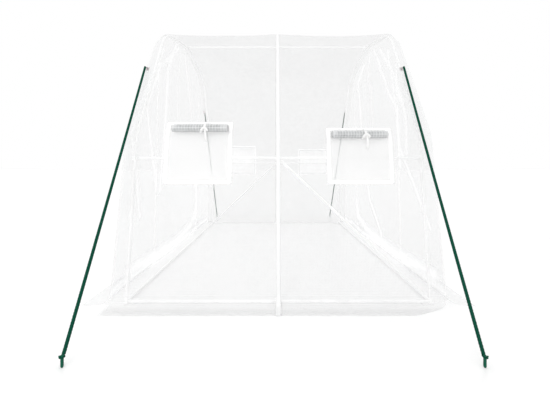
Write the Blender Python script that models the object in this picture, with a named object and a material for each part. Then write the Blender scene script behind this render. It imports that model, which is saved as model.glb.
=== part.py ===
"""Walk-in tunnel greenhouse: a steel-tube frame with three hoops under a loose film cover.

X runs along the tunnel, Y across it, Z up. The origin is on the ground under the middle of the ridge.
"""

import math

import bmesh
import bpy
import numpy as np
from mathutils import Vector

# Hoops, all to the middle of the tube
BAY = 0.89
FOOT_OUT = 1.00
KNEE_OUT = 0.895
KNEE_HEIGHT = 1.00
KNEE_RADIUS = 0.35
SHOULDER_OUT = 0.50
SHOULDER_HEIGHT = 1.87
SHOULDER_RADIUS = 0.30
RIDGE_HEIGHT = 2.00
MID_RAIL_HEIGHT = 0.856

# Tubes and connectors
TUBE_RADIUS = 0.009
TUBE_WALL = 0.001
TUBE_SIDES = 8
HUB_HALF = 0.012
SPIGOT_LENGTH = 0.040
SPIGOT_PLAY = 0.0007
SPIGOT_TAPER = 0.92
SOLE_THICKNESS = 0.004
SOLE_REACH = 0.050
SOLE_EMBED = 0.002

# Braces and their bolts
LUG_THICKNESS = 0.003
LUG_HALF_WIDTH = 0.008
LUG_NECK_HALF = 0.0015
LUG_NECK_AT = 0.010
LUG_NECK_END = 0.018
LUG_SHOULDER_AT = 0.031
BOLT_AT = 0.044
LUG_END_PAST_BOLT = 0.012
TAB_END_BEFORE_BOLT = 0.012
TAB_HALF_WIDTH = 0.010
TAB_HALF_THICKNESS = 0.0018
TAB_LENGTH = 0.026
TAB_TAPER = 0.030
BOLT_RADIUS = 0.0025
BOLT_HOLE_RADIUS = 0.0031
BOLT_HEAD_RADIUS = 0.005
BOLT_HEAD_HEIGHT = 0.003

# Film
FILM = 0.001
GAP = 0.0003
ROOF_SAG = 0.022
SHOULDER_SAG = 0.015
SIDE_SKIRT = 0.108
SKIRT_RISE = 0.050
SKIRT_CURVE = ((1, 0), (0.45, 0.074), (0.13, 0.314))
SKIRT_NORMALS = ((0, 1), (0, 1), (0.6, 0.8))
END_SKIRT = 0.155
END_SKIRT_FLARE = 0.020
END_LOOSE_FOOT = 0.078
END_LOOSE_TOP = 0.030
EDGE_DROOP = 0.020
DROOP_START = 1.72
DROOP_FULL = 1.84
CORNER_CUTS = (0.24, 0.10, 0.03)
CORNER_STEP = 0.02
SEAM_WIDTH = 0.024
SEAM_SKIRT_WIDTH = 0.034
SEAM_THICKNESS = 0.0008

# Windows
WINDOW_FROM_MIDDLE = 0.50
WINDOW_WIDTH = 0.42
WINDOW_SILL = 0.695
WINDOW_HEAD_LEFT = 1.080
WINDOW_HEAD_RIGHT = 1.040
BORDER_WIDTH = 0.022
BORDER_THICKNESS = 0.0008
NET_GAPS = 6
NET_BAR = 0.006
ROLL_FROM_MIDDLE_LEFT = 0.478
ROLL_FROM_MIDDLE_RIGHT = 0.497
ROLL_LENGTH = 0.352
ROLL_RADIUS = 0.025
ROLL_CORE_RADIUS = 0.010
ROLL_TURNS = 2.5
ROLL_SHEET = 0.0016
ROLL_DROP = 0.042
ROLL_POINTS_PER_TURN = 10
TIE_FROM_ROLL_MIDDLE = 0.032
STRAP_WIDTH = 0.014
STRAP_THICKNESS = 0.0012
KNOT = 0.012
BOW_LENGTH = 0.034
BOW_DEPTH = 0.008
TAIL_LONG = 0.095
TAIL_SHORT = 0.070
TAIL_SPLAY = 0.012
TAIL_LAYERS = {-1: -1.5, 1: 0.5}
TAIL_HALF_WIDTH = 0.35
KNOT_SUNK = 0.15
HANGER_ROOTS = (0.2, 0.6)

# End doors
DOOR_HALF_WIDTH = 0.50
DOOR_TOP = 1.70
DOOR_FOOT = 0.062
DOOR_FOLD_DEPTH = 0.018
DOOR_FOLDS = 3
JAMB_FOLD_DEPTH = 0.014
HEM_RADIUS = 0.014
HEM_SHEET = 0.002
DOOR_FLAP = 0.130
ZIP_WIDTH = 0.020
ZIP_THICKNESS = 0.0015
SLIDER_LENGTH = 0.024
SLIDER_WIDTH = 0.012
SLIDER_DEPTH = 0.006
SLIDER_HEIGHT = 0.110
PULL_LENGTH = 0.030
PULL_WIDTH = 0.007
PULL_DEPTH = 0.002

JAMB_SHARES = (0, 0.25, 0.5, 0.75)
JAMB_FOLDS = (0, 1, -0.4, 0.25)
RIDGE_TIP = 0.012
DOOR_FADE = 0.12
HEM_STEPS = 7
HEM_FROM = math.radians(60)

# Guy ropes and pegs
LOOP_HEIGHT = 1.50
LOOP_FROM_MIDDLE_LEFT = 0.935
LOOP_FROM_MIDDLE_RIGHT = 0.888
LOOP_WIDTH = 0.014
LOOP_LENGTH = 0.030
LOOP_DEPTH = 0.010
LOOP_STRAP = 0.0016
LOOP_SIDES = 8
ROPE_RADIUS = 0.006
ROPE_POINTS = 20
PEG_OUT = 1.445
NEAR_PEG_FROM_MIDDLE_LEFT = 0.871
NEAR_PEG_FROM_MIDDLE_RIGHT = 0.819
FAR_PEG_FROM_MIDDLE_LEFT = 0.952
FAR_PEG_FROM_MIDDLE_RIGHT = 0.864
PEG_RADIUS = 0.0055
PEG_HEIGHT = 0.050
PEG_HOOK_REACH = 0.009
PEG_HOOK_RADIUS = 0.0035
PEG_SIDES = 10
PEG_SHAPE = ((0, 0.8), (0.15, 1), (0.93, 1), (1, 0.6))
PEG_HOOK_AT = 0.84
ROPE_SAG = 0.006
ROPE_AT_PEG = 0.88
ROPE_END_REACH = 0.90
ROPE_END_RISE = 0.44

BASE_HEIGHT = SOLE_THICKNESS - SOLE_EMBED + HUB_HALF
FILM_OFF = HUB_HALF + GAP
OUTER_OFF = FILM_OFF + FILM
SIDES = {"near": -1, "far": 1}
ENDS = {"left": -1, "right": 1}
WINDOW_HEADS = {-1: WINDOW_HEAD_LEFT, 1: WINDOW_HEAD_RIGHT}
HIGHEST_HEAD = max(WINDOW_HEADS.values())
ROLLS_FROM_MIDDLE = {-1: ROLL_FROM_MIDDLE_LEFT, 1: ROLL_FROM_MIDDLE_RIGHT}
LOOPS_FROM_MIDDLE = {-1: LOOP_FROM_MIDDLE_LEFT, 1: LOOP_FROM_MIDDLE_RIGHT}
PEGS_FROM_MIDDLE = {
    (-1, -1): NEAR_PEG_FROM_MIDDLE_LEFT,
    (1, -1): NEAR_PEG_FROM_MIDDLE_RIGHT,
    (-1, 1): FAR_PEG_FROM_MIDDLE_LEFT,
    (1, 1): FAR_PEG_FROM_MIDDLE_RIGHT,
}


def finish(name, colour, roughness, metallic=0.0, alpha=1.0):
    """A plain material: colour, roughness and metal of one kind of piece."""
    made = bpy.data.materials.new(name)
    made.use_nodes = True
    shader = made.node_tree.nodes["Principled BSDF"]
    shader.inputs["Base Color"].default_value = (*colour, 1.0)
    shader.inputs["Roughness"].default_value = roughness
    shader.inputs["Metallic"].default_value = metallic
    shader.inputs["Alpha"].default_value = alpha
    return made


def clear_scene():
    for thing in list(bpy.data.objects):
        bpy.data.objects.remove(thing)


def mesh_from(points, faces):
    """A closed mesh whose faces all point out."""
    mesh = bpy.data.meshes.new("shape")
    mesh.from_pydata([tuple(p) for p in points], [], faces)
    shape = bmesh.new()
    shape.from_mesh(mesh)
    bmesh.ops.recalc_face_normals(shape, faces=shape.faces)
    shape.to_mesh(mesh)
    shape.free()
    return mesh


def node(name, mesh, material, smooth=False):
    """One named object: one closed mesh with its material."""
    mesh.name = name
    mesh.materials.clear()
    mesh.materials.append(material)
    made = bpy.data.objects.new(name, mesh)
    bpy.context.collection.objects.link(made)
    if smooth:
        mesh.shade_smooth()
        mesh.set_sharp_from_angle(angle=math.radians(50))
    return made


def set_origin(thing, place):
    """Moves an object's origin to a place, with its shape left where it is."""
    place = Vector(place)
    for vertex in thing.data.vertices:
        vertex.co -= place
    thing.location = place


def boolean(base, others, operation):
    """The mesh that is left when the other meshes are joined to, or cut from, the base."""
    body = bpy.data.objects.new("base", base)
    bpy.context.collection.objects.link(body)
    tools = []
    for other in others:
        tool = bpy.data.objects.new("tool", other)
        tool.hide_render = True
        tool.display_type = "WIRE"
        bpy.context.collection.objects.link(tool)
        change = body.modifiers.new("change", "BOOLEAN")
        change.operation = operation
        change.solver = "EXACT"
        change.object = tool
        tools.append(tool)
    bpy.context.view_layer.update()
    seen = body.evaluated_get(bpy.context.evaluated_depsgraph_get())
    result = bpy.data.meshes.new_from_object(seen)
    for thing in [body, *tools]:
        bpy.data.objects.remove(thing)
    return result


def ring_points(centre, along, across, radius_a, radius_b, count):
    """Points round a centre, square to `along`, with `across` as one of the two radii's directions."""
    along = Vector(along).normalized()
    across = Vector(across).normalized()
    other = along.cross(across).normalized()
    turn = math.pi / count
    return [
        Vector(centre)
        + across * radius_a * math.cos(turn + math.tau * i / count)
        + other * radius_b * math.sin(turn + math.tau * i / count)
        for i in range(count)
    ]


def skin(rings, start, count, closed=False):
    """Faces between rings of points that were added one after the other."""
    faces = []
    spans = rings if closed else rings - 1
    for r in range(spans):
        low = start + r * count
        high = start + ((r + 1) % rings) * count
        for i in range(count):
            j = (i + 1) % count
            faces.append((low + i, low + j, high + j, high + i))
    return faces


def directions(path):
    """The direction of a path at each of its points."""
    path = [Vector(p) for p in path]
    steps = [(b - a).normalized() for a, b in zip(path, path[1:])]
    middle = [(a + b).normalized() for a, b in zip(steps, steps[1:])]
    return [steps[0], *middle, steps[-1]]


def pipe(path, across, radii, wall, count=TUBE_SIDES):
    """A hollow tube along a path. `radii` gives each ring's two outer radii."""
    outer, inner = [], []
    for place, along, (a, b) in zip(path, directions(path), radii):
        outer += ring_points(place, along, across, a, b, count)
        inner += ring_points(place, along, across, a - wall, b - wall, count)
    rings = len(path)
    last = (rings - 1) * count
    shift = rings * count
    faces = skin(rings, 0, count) + skin(rings, shift, count)
    for end in (0, last):
        for i in range(count):
            j = (i + 1) % count
            faces.append((end + i, end + j, shift + end + j, shift + end + i))
    return mesh_from(outer + inner, faces)


def rod(path, across, radii, count=TUBE_SIDES):
    """A solid round bar along a path, with one radius for each of its points."""
    points = []
    for place, along, radius in zip(path, directions(path), radii):
        points += ring_points(place, along, across, radius, radius, count)
    rings = len(path)
    last = (rings - 1) * count
    faces = skin(rings, 0, count)
    faces += [tuple(range(count)), tuple(range(last, last + count))]
    return mesh_from(points, faces)


def block(centre, axes, halves):
    """A box with its own three axes and half sizes."""
    a, b, c = (Vector(axis).normalized() * half for axis, half in zip(axes, halves))
    points = [
        Vector(centre) + a * i + b * j + c * k
        for i in (-1, 1)
        for j in (-1, 1)
        for k in (-1, 1)
    ]
    faces = [(0, 1, 3, 2), (4, 5, 7, 6), (0, 1, 5, 4), (2, 3, 7, 6), (0, 2, 6, 4), (1, 3, 7, 5)]
    return mesh_from(points, faces)


def prism(outline, push):
    """A closed outline pushed through by one vector."""
    count = len(outline)
    points = [Vector(p) for p in outline] + [Vector(p) + Vector(push) for p in outline]
    faces = [tuple(range(count)), tuple(range(count, 2 * count))]
    faces += [(i, (i + 1) % count, count + (i + 1) % count, count + i) for i in range(count)]
    return mesh_from(points, faces)


def band(outer, inner, push):
    """A closed strap: two loops of as many points each, pushed through by one vector."""
    count = len(outer)
    push = Vector(push)
    loops = [outer, inner, [Vector(p) + push for p in inner], [Vector(p) + push for p in outer]]
    points = [Vector(p) for loop in loops for p in loop]
    return mesh_from(points, skin(4, 0, count, closed=True))


def sheet(inner, outer, missing=()):
    """A thin sheet between two equal grids of points, open where a cell is missing."""
    rows, columns = len(inner), len(inner[0])
    cells = [
        (r, c) for r in range(rows - 1) for c in range(columns - 1) if (r, c) not in missing
    ]
    points, index, faces = [], {}, []

    def at(layer, r, c):
        if (layer, r, c) not in index:
            index[layer, r, c] = len(points)
            points.append((inner, outer)[layer][r][c])
        return index[layer, r, c]

    present = set(cells)
    for r, c in cells:
        corners = [(r, c), (r, c + 1), (r + 1, c + 1), (r + 1, c)]
        for layer in (0, 1):
            faces.append(tuple(at(layer, *corner) for corner in corners))
        beside = [(r - 1, c), (r, c + 1), (r + 1, c), (r, c - 1)]
        for k, other in enumerate(beside):
            if other not in present:
                a, b = corners[k], corners[(k + 1) % 4]
                faces.append((at(0, *a), at(0, *b), at(1, *b), at(1, *a)))
    return mesh_from(points, faces)


def rounded(corners, radii, turn):
    """A path through corners, each rounded with its own radius, with a step at least every `turn`."""
    path = [Vector(corners[0])]
    for before, corner, after, radius in zip(corners, corners[1:], corners[2:], radii):
        before, corner, after = Vector(before), Vector(corner), Vector(after)
        arrive = (corner - before).normalized()
        leave = (after - corner).normalized()
        bend = arrive.angle(leave)
        back = radius * math.tan(bend / 2)
        inward = (leave - arrive).normalized()
        middle = corner + inward * (radius / math.cos(bend / 2))
        steps = max(1, math.ceil(bend / turn))
        start = corner - arrive * back - middle
        side = arrive * radius
        for k in range(steps + 1):
            angle = bend * k / steps
            path.append(middle + start * math.cos(angle) + side * math.sin(angle))
    path.append(Vector(corners[-1]))
    return path


# The hoop's middle line on one side, from the foot up to the ridge, as (out from the ridge, height)
HOOP_CORNERS = [
    (FOOT_OUT, BASE_HEIGHT, 0),
    (KNEE_OUT, KNEE_HEIGHT, 0),
    (SHOULDER_OUT, SHOULDER_HEIGHT, 0),
    (0, RIDGE_HEIGHT, 0),
]
HOOP_RADII = [KNEE_RADIUS, SHOULDER_RADIUS]
FINE_TURN = math.radians(2)
TUBE_TURN = math.radians(10.5)


def measured(path):
    """A path's points as arrays: out, height, length along it, and the outward normal."""
    out = np.array([p[0] for p in path])
    high = np.array([p[1] for p in path])
    steps = np.hypot(np.diff(out), np.diff(high))
    length = np.concatenate([[0], np.cumsum(steps)])
    along = [(d[0], d[1]) for d in directions(path)]
    return out, high, length, np.array([a[1] for a in along]), np.array([-a[0] for a in along])


HOOP_OUT, HOOP_HIGH, HOOP_LENGTH, NORMAL_OUT, NORMAL_HIGH = measured(
    rounded(HOOP_CORNERS, HOOP_RADII, FINE_TURN)
)


def length_at_height(height):
    return float(np.interp(height, HOOP_HIGH, HOOP_LENGTH))


def hoop_at(length, off=0.0):
    """The point (out, height) at a length along the hoop, moved `off` outward."""
    out = np.interp(length, HOOP_LENGTH, HOOP_OUT)
    high = np.interp(length, HOOP_LENGTH, HOOP_HIGH)
    normal = (
        np.interp(length, HOOP_LENGTH, NORMAL_OUT),
        np.interp(length, HOOP_LENGTH, NORMAL_HIGH),
    )
    scale = off / math.hypot(*normal)
    return float(out + normal[0] * scale), float(high + normal[1] * scale)


LEG_UP = Vector((0, FOOT_OUT - KNEE_OUT, KNEE_HEIGHT - BASE_HEIGHT)).normalized()
ROOF_UP = Vector((0, SHOULDER_OUT, RIDGE_HEIGHT - SHOULDER_HEIGHT)).normalized()
MID_OUT = hoop_at(length_at_height(MID_RAIL_HEIGHT))[0]
TUBE_START = HUB_HALF + GAP
ON_HOOP = HUB_HALF + 2 * GAP
WELDED_START = HUB_HALF / 2
UPRIGHT = (1, 0, 0)
LEVEL = (0, 0, 1)


def facing(side, vector):
    """A direction drawn for the near side, turned for the side that is asked for."""
    return Vector((vector[0], -side * vector[1], vector[2]))


def foot_place(end, side):
    return Vector((end * BAY, side * FOOT_OUT, BASE_HEIGHT))


def cross_place(end, side):
    return Vector((end * BAY, side * MID_OUT, MID_RAIL_HEIGHT))


def ridge_place(end):
    return Vector((end * BAY, 0, RIDGE_HEIGHT))


def straight_tube(start, stop, across, welded=False, clear=TUBE_START):
    """A tube between two fittings, just clear of both, or with its start inside the first."""
    along = (stop - start).normalized()
    first = start + along * (WELDED_START if welded else clear)
    radii = [(TUBE_RADIUS, TUBE_RADIUS)] * 2
    return pipe([first, stop - along * clear], across, radii, TUBE_WALL)


def bow_tube(end, side):
    """The bent upper part of a hoop, from the side cross over the knee and shoulder to the ridge."""
    corners = [(MID_OUT, MID_RAIL_HEIGHT, 0), *HOOP_CORNERS[1:]]
    path = [
        Vector((end * BAY, side * p[0], p[1])) for p in rounded(corners, HOOP_RADII, TUBE_TURN)
    ]
    path[0] += (path[1] - path[0]).normalized() * WELDED_START
    path[-1] += (path[-2] - path[-1]).normalized() * TUBE_START
    radii = [(TUBE_RADIUS, TUBE_RADIUS)] * len(path)
    return pipe(path, UPRIGHT, radii, TUBE_WALL)


def spigot(place, along, across):
    """A six-sided plug that stands out of a fitting into a tube."""
    along = Vector(along).normalized()
    radius = (TUBE_RADIUS - TUBE_WALL) * math.cos(math.pi / TUBE_SIDES) - SPIGOT_PLAY / 2
    path = [place, place + along * (HUB_HALF + SPIGOT_LENGTH)]
    return rod(path, across, [radius, radius * SPIGOT_TAPER], 6)


def rail_spigots(place, end):
    return [spigot(place, (way, 0, 0), LEVEL) for way in (-1, 1) if way != end]


def lug(place, along, inward):
    """The ear that a brace is bolted to: a narrow neck out of the fitting, then a flat plate."""
    side = along.cross(inward)
    stations = [
        (LUG_NECK_AT, LUG_NECK_HALF),
        (LUG_NECK_END, LUG_NECK_HALF),
        (LUG_SHOULDER_AT, LUG_HALF_WIDTH),
        (BOLT_AT + LUG_END_PAST_BOLT, LUG_HALF_WIDTH),
    ]
    outline = [place + along * a + side * w for a, w in stations]
    outline += [place + along * a - side * w for a, w in reversed(stations)]
    outline = [p - inward * LUG_THICKNESS / 2 for p in outline]
    return prism(outline, inward * LUG_THICKNESS)


def stud(place, along, inward):
    """The bolt that is fixed in a lug and holds the brace's end under its head."""
    centre = place + along * BOLT_AT
    head = LUG_THICKNESS / 2 + GAP + 2 * TAB_HALF_THICKNESS + GAP
    stations = [
        (0, BOLT_RADIUS),
        (head, BOLT_RADIUS),
        (head, BOLT_HEAD_RADIUS),
        (head + BOLT_HEAD_HEIGHT, BOLT_HEAD_RADIUS),
    ]
    points = []
    for a, radius in stations:
        points += ring_points(centre + inward * a, inward, along, radius, radius, 6)
    last = (len(stations) - 1) * 6
    faces = skin(len(stations), 0, 6)
    faces += [tuple(range(6)), tuple(range(last, last + 6))]
    return mesh_from(points, faces)


def bolt_hole(place, along, inward):
    centre = place + along * BOLT_AT
    reach = inward * HUB_HALF * 2
    return rod([centre - reach, centre + reach], along, [BOLT_HOLE_RADIUS] * 2, 6)


def sole(place, end, side):
    """The flat plate under a foot, flush with its outer faces so that the skirt hangs clear."""
    reach = [-HUB_HALF, SOLE_REACH]
    x_span = [place.x - end * r for r in reach] if end else [-SOLE_REACH / 2, SOLE_REACH / 2]
    y_span = [place.y - side * r for r in reach]
    outline = [(x, y, 0) for x, y in zip([*x_span, *reversed(x_span)], np.repeat(y_span, 2))]
    return prism(outline, (0, 0, SOLE_THICKNESS))


def inward_of(side):
    """Square to a leg, towards the inside of the tunnel."""
    return facing(side, (0, LEG_UP.z, -LEG_UP.y))


def brace_line(side):
    """The middle cross and the corner foot that a brace joins, and the way from one to the other."""
    top, foot = cross_place(0, side), foot_place(-side, side)
    return top, foot, (foot - top).normalized()


def brace(side):
    """A tube with both ends pressed flat and bolted to the lugs, just inside the legs."""
    top, foot, along = brace_line(side)
    inward = inward_of(side)
    shift = inward * (LUG_THICKNESS / 2 + GAP + TAB_HALF_THICKNESS)
    tab_start = BOLT_AT - TAB_END_BEFORE_BOLT
    marks = [tab_start, tab_start + TAB_LENGTH, tab_start + TAB_LENGTH + TAB_TAPER]
    flat = (TAB_HALF_WIDTH, TAB_HALF_THICKNESS)
    shapes = [flat, flat, (TUBE_RADIUS, TUBE_RADIUS)]
    path = [top + along * m + shift for m in marks]
    path += [foot - along * m + shift for m in reversed(marks)]
    body = pipe(path, along.cross(inward), shapes + shapes[::-1], TUBE_WALL)
    holes = [bolt_hole(top, along, inward), bolt_hole(foot, -along, inward)]
    return boolean(body, holes, "DIFFERENCE")


def leg(end, side):
    """A straight leg on its foot fitting, with plugs for the base rails and, at one corner, a lug."""
    foot, cross = foot_place(end, side), cross_place(end, side)
    axes = [UPRIGHT, facing(side, LEG_UP), inward_of(side)]
    pieces = [block(foot, axes, [HUB_HALF] * 3), sole(foot, end, side), *rail_spigots(foot, end)]
    if end:
        pieces.append(spigot(foot, (0, -side, 0), UPRIGHT))
    if end == -side:
        along = -brace_line(side)[2]
        pieces += [lug(foot, along, inward_of(side)), stud(foot, along, inward_of(side))]
    return boolean(straight_tube(foot, cross, UPRIGHT, welded=True), pieces, "UNION")


def bow(end, side):
    """A bent upper tube on its cross fitting, with plugs for the leg and the middle rails."""
    cross, up = cross_place(end, side), facing(side, LEG_UP)
    pieces = [block(cross, [UPRIGHT, up, inward_of(side)], [HUB_HALF] * 3)]
    pieces += [spigot(cross, -up, UPRIGHT), *rail_spigots(cross, end)]
    if end == 0:
        along = brace_line(side)[2]
        pieces += [lug(cross, along, inward_of(side)), stud(cross, along, inward_of(side))]
    return boolean(bow_tube(end, side), pieces, "UNION")


def roof_spigots(place):
    ways = [(0, -side * ROOF_UP.y, -ROOF_UP.z) for side in SIDES.values()]
    return [spigot(place, way, UPRIGHT) for way in ways]


def ridge_core(place):
    """The body of a ridge fitting: a block whose two sides stand square to the roof."""
    across, up = Vector((0, ROOF_UP.y, -ROOF_UP.z)), Vector((0, ROOF_UP.z, ROOF_UP.y))
    corners = [(across + up) * HUB_HALF, (across - up) * HUB_HALF]
    outline = [Vector((0, 0, HUB_HALF)), *corners]
    outline += [facing(1, corner) for corner in reversed(corners)]
    outline = [place + corner - Vector((HUB_HALF, 0, 0)) for corner in outline]
    return prism(outline, (2 * HUB_HALF, 0, 0))


def ridge_rail(end):
    """Half of the ridge, with the fitting that carries an end hoop's two bows."""
    place = ridge_place(end)
    tube = straight_tube(place, ridge_place(0), LEVEL, welded=True)
    return boolean(tube, [ridge_core(place), *roof_spigots(place)], "UNION")


def build_frame():
    """Hoops, rails and braces, each tube with the fitting that is welded to it."""
    steel = finish("white painted steel", (0.90, 0.90, 0.91), 0.35, 0.2)
    for side_name, side in SIDES.items():
        for end_name, end in {"left": -1, "centre": 0, "right": 1}.items():
            node(f"{side_name}_{end_name}_leg", leg(end, side), steel, smooth=True)
            node(f"{side_name}_{end_name}_bow", bow(end, side), steel, smooth=True)
        for end_name, end in ENDS.items():
            base = straight_tube(foot_place(0, side), foot_place(end, side), LEVEL)
            node(f"{side_name}_{end_name}_base_rail", base, steel, smooth=True)
            middle = straight_tube(cross_place(0, side), cross_place(end, side), LEVEL)
            node(f"{side_name}_{end_name}_mid_rail", middle, steel, smooth=True)
        node(f"{side_name}_brace", brace(side), steel, smooth=True)
    for end_name, end in ENDS.items():
        node(f"{end_name}_ridge_rail", ridge_rail(end), steel, smooth=True)
        leaning = TUBE_START + HUB_HALF * LEG_UP.y / LEG_UP.z
        base = straight_tube(foot_place(end, -1), foot_place(end, 1), UPRIGHT, clear=leaning)
        node(f"{end_name}_end_base_rail", base, steel, smooth=True)
    middle = ridge_place(0)
    plugs = [*rail_spigots(middle, 0), *roof_spigots(middle)]
    node("centre_ridge_cross", boolean(ridge_core(middle), plugs, "UNION"), steel)


def coarse_lengths():
    """Lengths along the hoop of the points where its tube bends."""
    path = rounded(HOOP_CORNERS, HOOP_RADII, TUBE_TURN)
    return [length_at_height(point[1]) for point in path[1:-1]]


WALL_STATIONS = [
    length_at_height(height)
    for height in (
        SKIRT_RISE,
        WINDOW_SILL,
        WINDOW_SILL + BORDER_WIDTH,
        WINDOW_HEAD_LEFT - BORDER_WIDTH,
        WINDOW_HEAD_LEFT,
        WINDOW_HEAD_RIGHT - BORDER_WIDTH,
        WINDOW_HEAD_RIGHT,
        DOOR_TOP,
    )
]
ROOF_START = coarse_lengths()[-1]
SHOULDER_LEAN = math.atan2(KNEE_OUT - SHOULDER_OUT, SHOULDER_HEIGHT - KNEE_HEIGHT)
SHOULDER_BEND = math.pi / 2 - SHOULDER_LEAN - math.atan2(RIDGE_HEIGHT - SHOULDER_HEIGHT, SHOULDER_OUT)
SHOULDER_START = ROOF_START - SHOULDER_RADIUS * SHOULDER_BEND
RIDGE_LENGTH = float(HOOP_LENGTH[-1])
ROOF_MIDDLE = (ROOF_START + RIDGE_LENGTH) / 2
UPPER_WALL = (length_at_height(HIGHEST_HEAD) + SHOULDER_START) / 2
NEAREST_STATIONS = 0.006


def stations():
    """Lengths along the hoop where the film may bend, from the foot up, none too near the last."""
    kept = []
    for length in sorted([*WALL_STATIONS, *coarse_lengths(), UPPER_WALL, ROOF_MIDDLE]):
        if not kept or length - kept[-1] > NEAREST_STATIONS or length in WALL_STATIONS:
            kept.append(length)
    return kept


def sag_depth(length):
    """How far the film may hang in between two hoops: not at a rail, most on the roof."""
    if length <= length_at_height(HIGHEST_HEAD) or length >= RIDGE_LENGTH:
        return 0.0
    if length < UPPER_WALL:
        return 0.5 * SHOULDER_SAG
    return SHOULDER_SAG if length <= ROOF_START else ROOF_SAG


def loose_at(height):
    """How far the cover's end edge stands beyond the end hoop, most at the foot."""
    return END_LOOSE_TOP + (END_LOOSE_FOOT - END_LOOSE_TOP) * (1 - height / RIDGE_HEIGHT)


def edge_x(height):
    return BAY + FILM_OFF + loose_at(height)


def edge_droop(height):
    """How far the cover's loose end edge falls in, up at the shoulder and on the roof."""
    share = (height - DROOP_START) / (DROOP_FULL - DROOP_START)
    return EDGE_DROOP * min(1.0, max(0.0, share))


def film_row(length, off):
    """A point (out, height) of the cover at a length along the hoop, with the ridge mitred."""
    if length >= RIDGE_LENGTH:
        return 0.0, RIDGE_HEIGHT + off / ROOF_UP.y
    return hoop_at(length, off)


def skirt_rows(under, reach):
    """The skirt's rows from its edge in, as (out, height): it curves down and lies on the ground."""
    foot = hoop_at(length_at_height(SKIRT_RISE), FILM_OFF)[0]
    return [
        (foot + out * reach + way[0] * under, GAP + high * SKIRT_RISE + way[1] * under)
        for (out, high), way in zip(SKIRT_CURVE, SKIRT_NORMALS)
    ]


def cover_rows(off, sagging):
    """All rows of the cover from the near skirt over the ridge to the far skirt."""
    half = [(out, high, 0.0) for out, high in skirt_rows(off - FILM_OFF, SIDE_SKIRT)]
    for length in stations():
        half.append((*film_row(length, off), sag_depth(length) if sagging else 0.0))
    ridge = (*film_row(RIDGE_LENGTH, off), 0.0)
    rows = [(-out, high, sag) for out, high, sag in half] + [ridge]
    return rows + list(reversed(half))


def let_down(y, high, drop):
    """A point of the film moved in towards the middle of the greenhouse."""
    inward = math.atan2(high - SHOULDER_HEIGHT / 2, abs(y))
    return y - math.copysign(drop * math.cos(inward), y), high - drop * math.sin(inward)


def sagged(row, x):
    """A row's point at a place along the tunnel, let down by the film's sag there."""
    y, high, depth = row
    away = (x - BAY / 2) / (BAY / 2 - ON_HOOP)
    sag = depth * max(0.0, 1 - away * away)
    return let_down(y, high, edge_droop(high) if x > BAY + ON_HOOP else sag)


def cover_columns(high):
    opening = WINDOW_WIDTH / 2 - BORDER_WIDTH
    middle = WINDOW_FROM_MIDDLE
    window_marks = [middle - opening, middle, middle + opening]
    return [GAP / 2, ON_HOOP, *window_marks, BAY - ON_HOOP, BAY + ON_HOOP, edge_x(high)]


def cover_half(end):
    """Half of the long cover: side walls, roof and side skirts in one piece, open at the windows."""
    grids = []
    for off in (FILM_OFF, OUTER_OFF):
        grid = []
        rows = zip(cover_rows(off, True), cover_rows(FILM_OFF, True))
        for r, (row, level) in enumerate(rows):
            columns = cover_columns(max(level[1], SKIRT_RISE))
            if end == ENDS["right"] and r < len(CORNER_CUTS):
                columns[-1] -= CORNER_CUTS[r]
                for c in (-2, -3):
                    columns[c] = min(columns[c], columns[c + 1] - CORNER_STEP)
            places = [(x, *sagged(row, x)) for x in columns]
            grid.append([(end * x, y, z) for x, y, z in places])
        grids.append(grid)
    levels = [row[1] for row in cover_rows(FILM_OFF, False)]
    low = hoop_at(length_at_height(WINDOW_SILL + BORDER_WIDTH), FILM_OFF)[1]
    high = hoop_at(length_at_height(WINDOW_HEADS[end] - BORDER_WIDTH), FILM_OFF)[1]
    missing = set()
    for r, pair in enumerate(zip(levels, levels[1:])):
        if low < sum(pair) / 2 < high:
            missing |= {(r, 2), (r, 3)}
    film = sheet(*grids, missing)
    return boolean(film, [guy_loop(end, side) for side in SIDES.values()], "UNION")


def seam_strip():
    """The pale strip welded over the joint of the two halves, wider on the skirts."""
    grids = []
    for off in (OUTER_OFF + GAP, OUTER_OFF + GAP + SEAM_THICKNESS):
        grid = []
        for y, high, _ in cover_rows(off, False):
            half = (SEAM_SKIRT_WIDTH if high < SKIRT_RISE / 2 else SEAM_WIDTH) / 2
            grid.append([(-half, y, high), (half, y, high)])
        grids.append(grid)
    return sheet(*grids)


def guy_loop_centre(end, side):
    out, high = hoop_at(length_at_height(LOOP_HEIGHT), OUTER_OFF)
    return Vector((end * LOOPS_FROM_MIDDLE[end], side * (out + LOOP_LENGTH / 2 - FILM), high))


def guy_loop(end, side):
    """A small strap loop sewn to the cover beside an end hoop, which a guy rope is tied to."""
    middle = guy_loop_centre(end, side) - Vector((LOOP_WIDTH / 2, 0, 0))
    loops = []
    for thick in (0, LOOP_STRAP):
        half_length, half_depth = LOOP_LENGTH / 2 - thick, LOOP_DEPTH / 2 - thick
        loops.append(ring_points(middle, UPRIGHT, (0, 1, 0), half_length, half_depth, LOOP_SIDES))
    return band(*loops, (LOOP_WIDTH, 0, 0))


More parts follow.
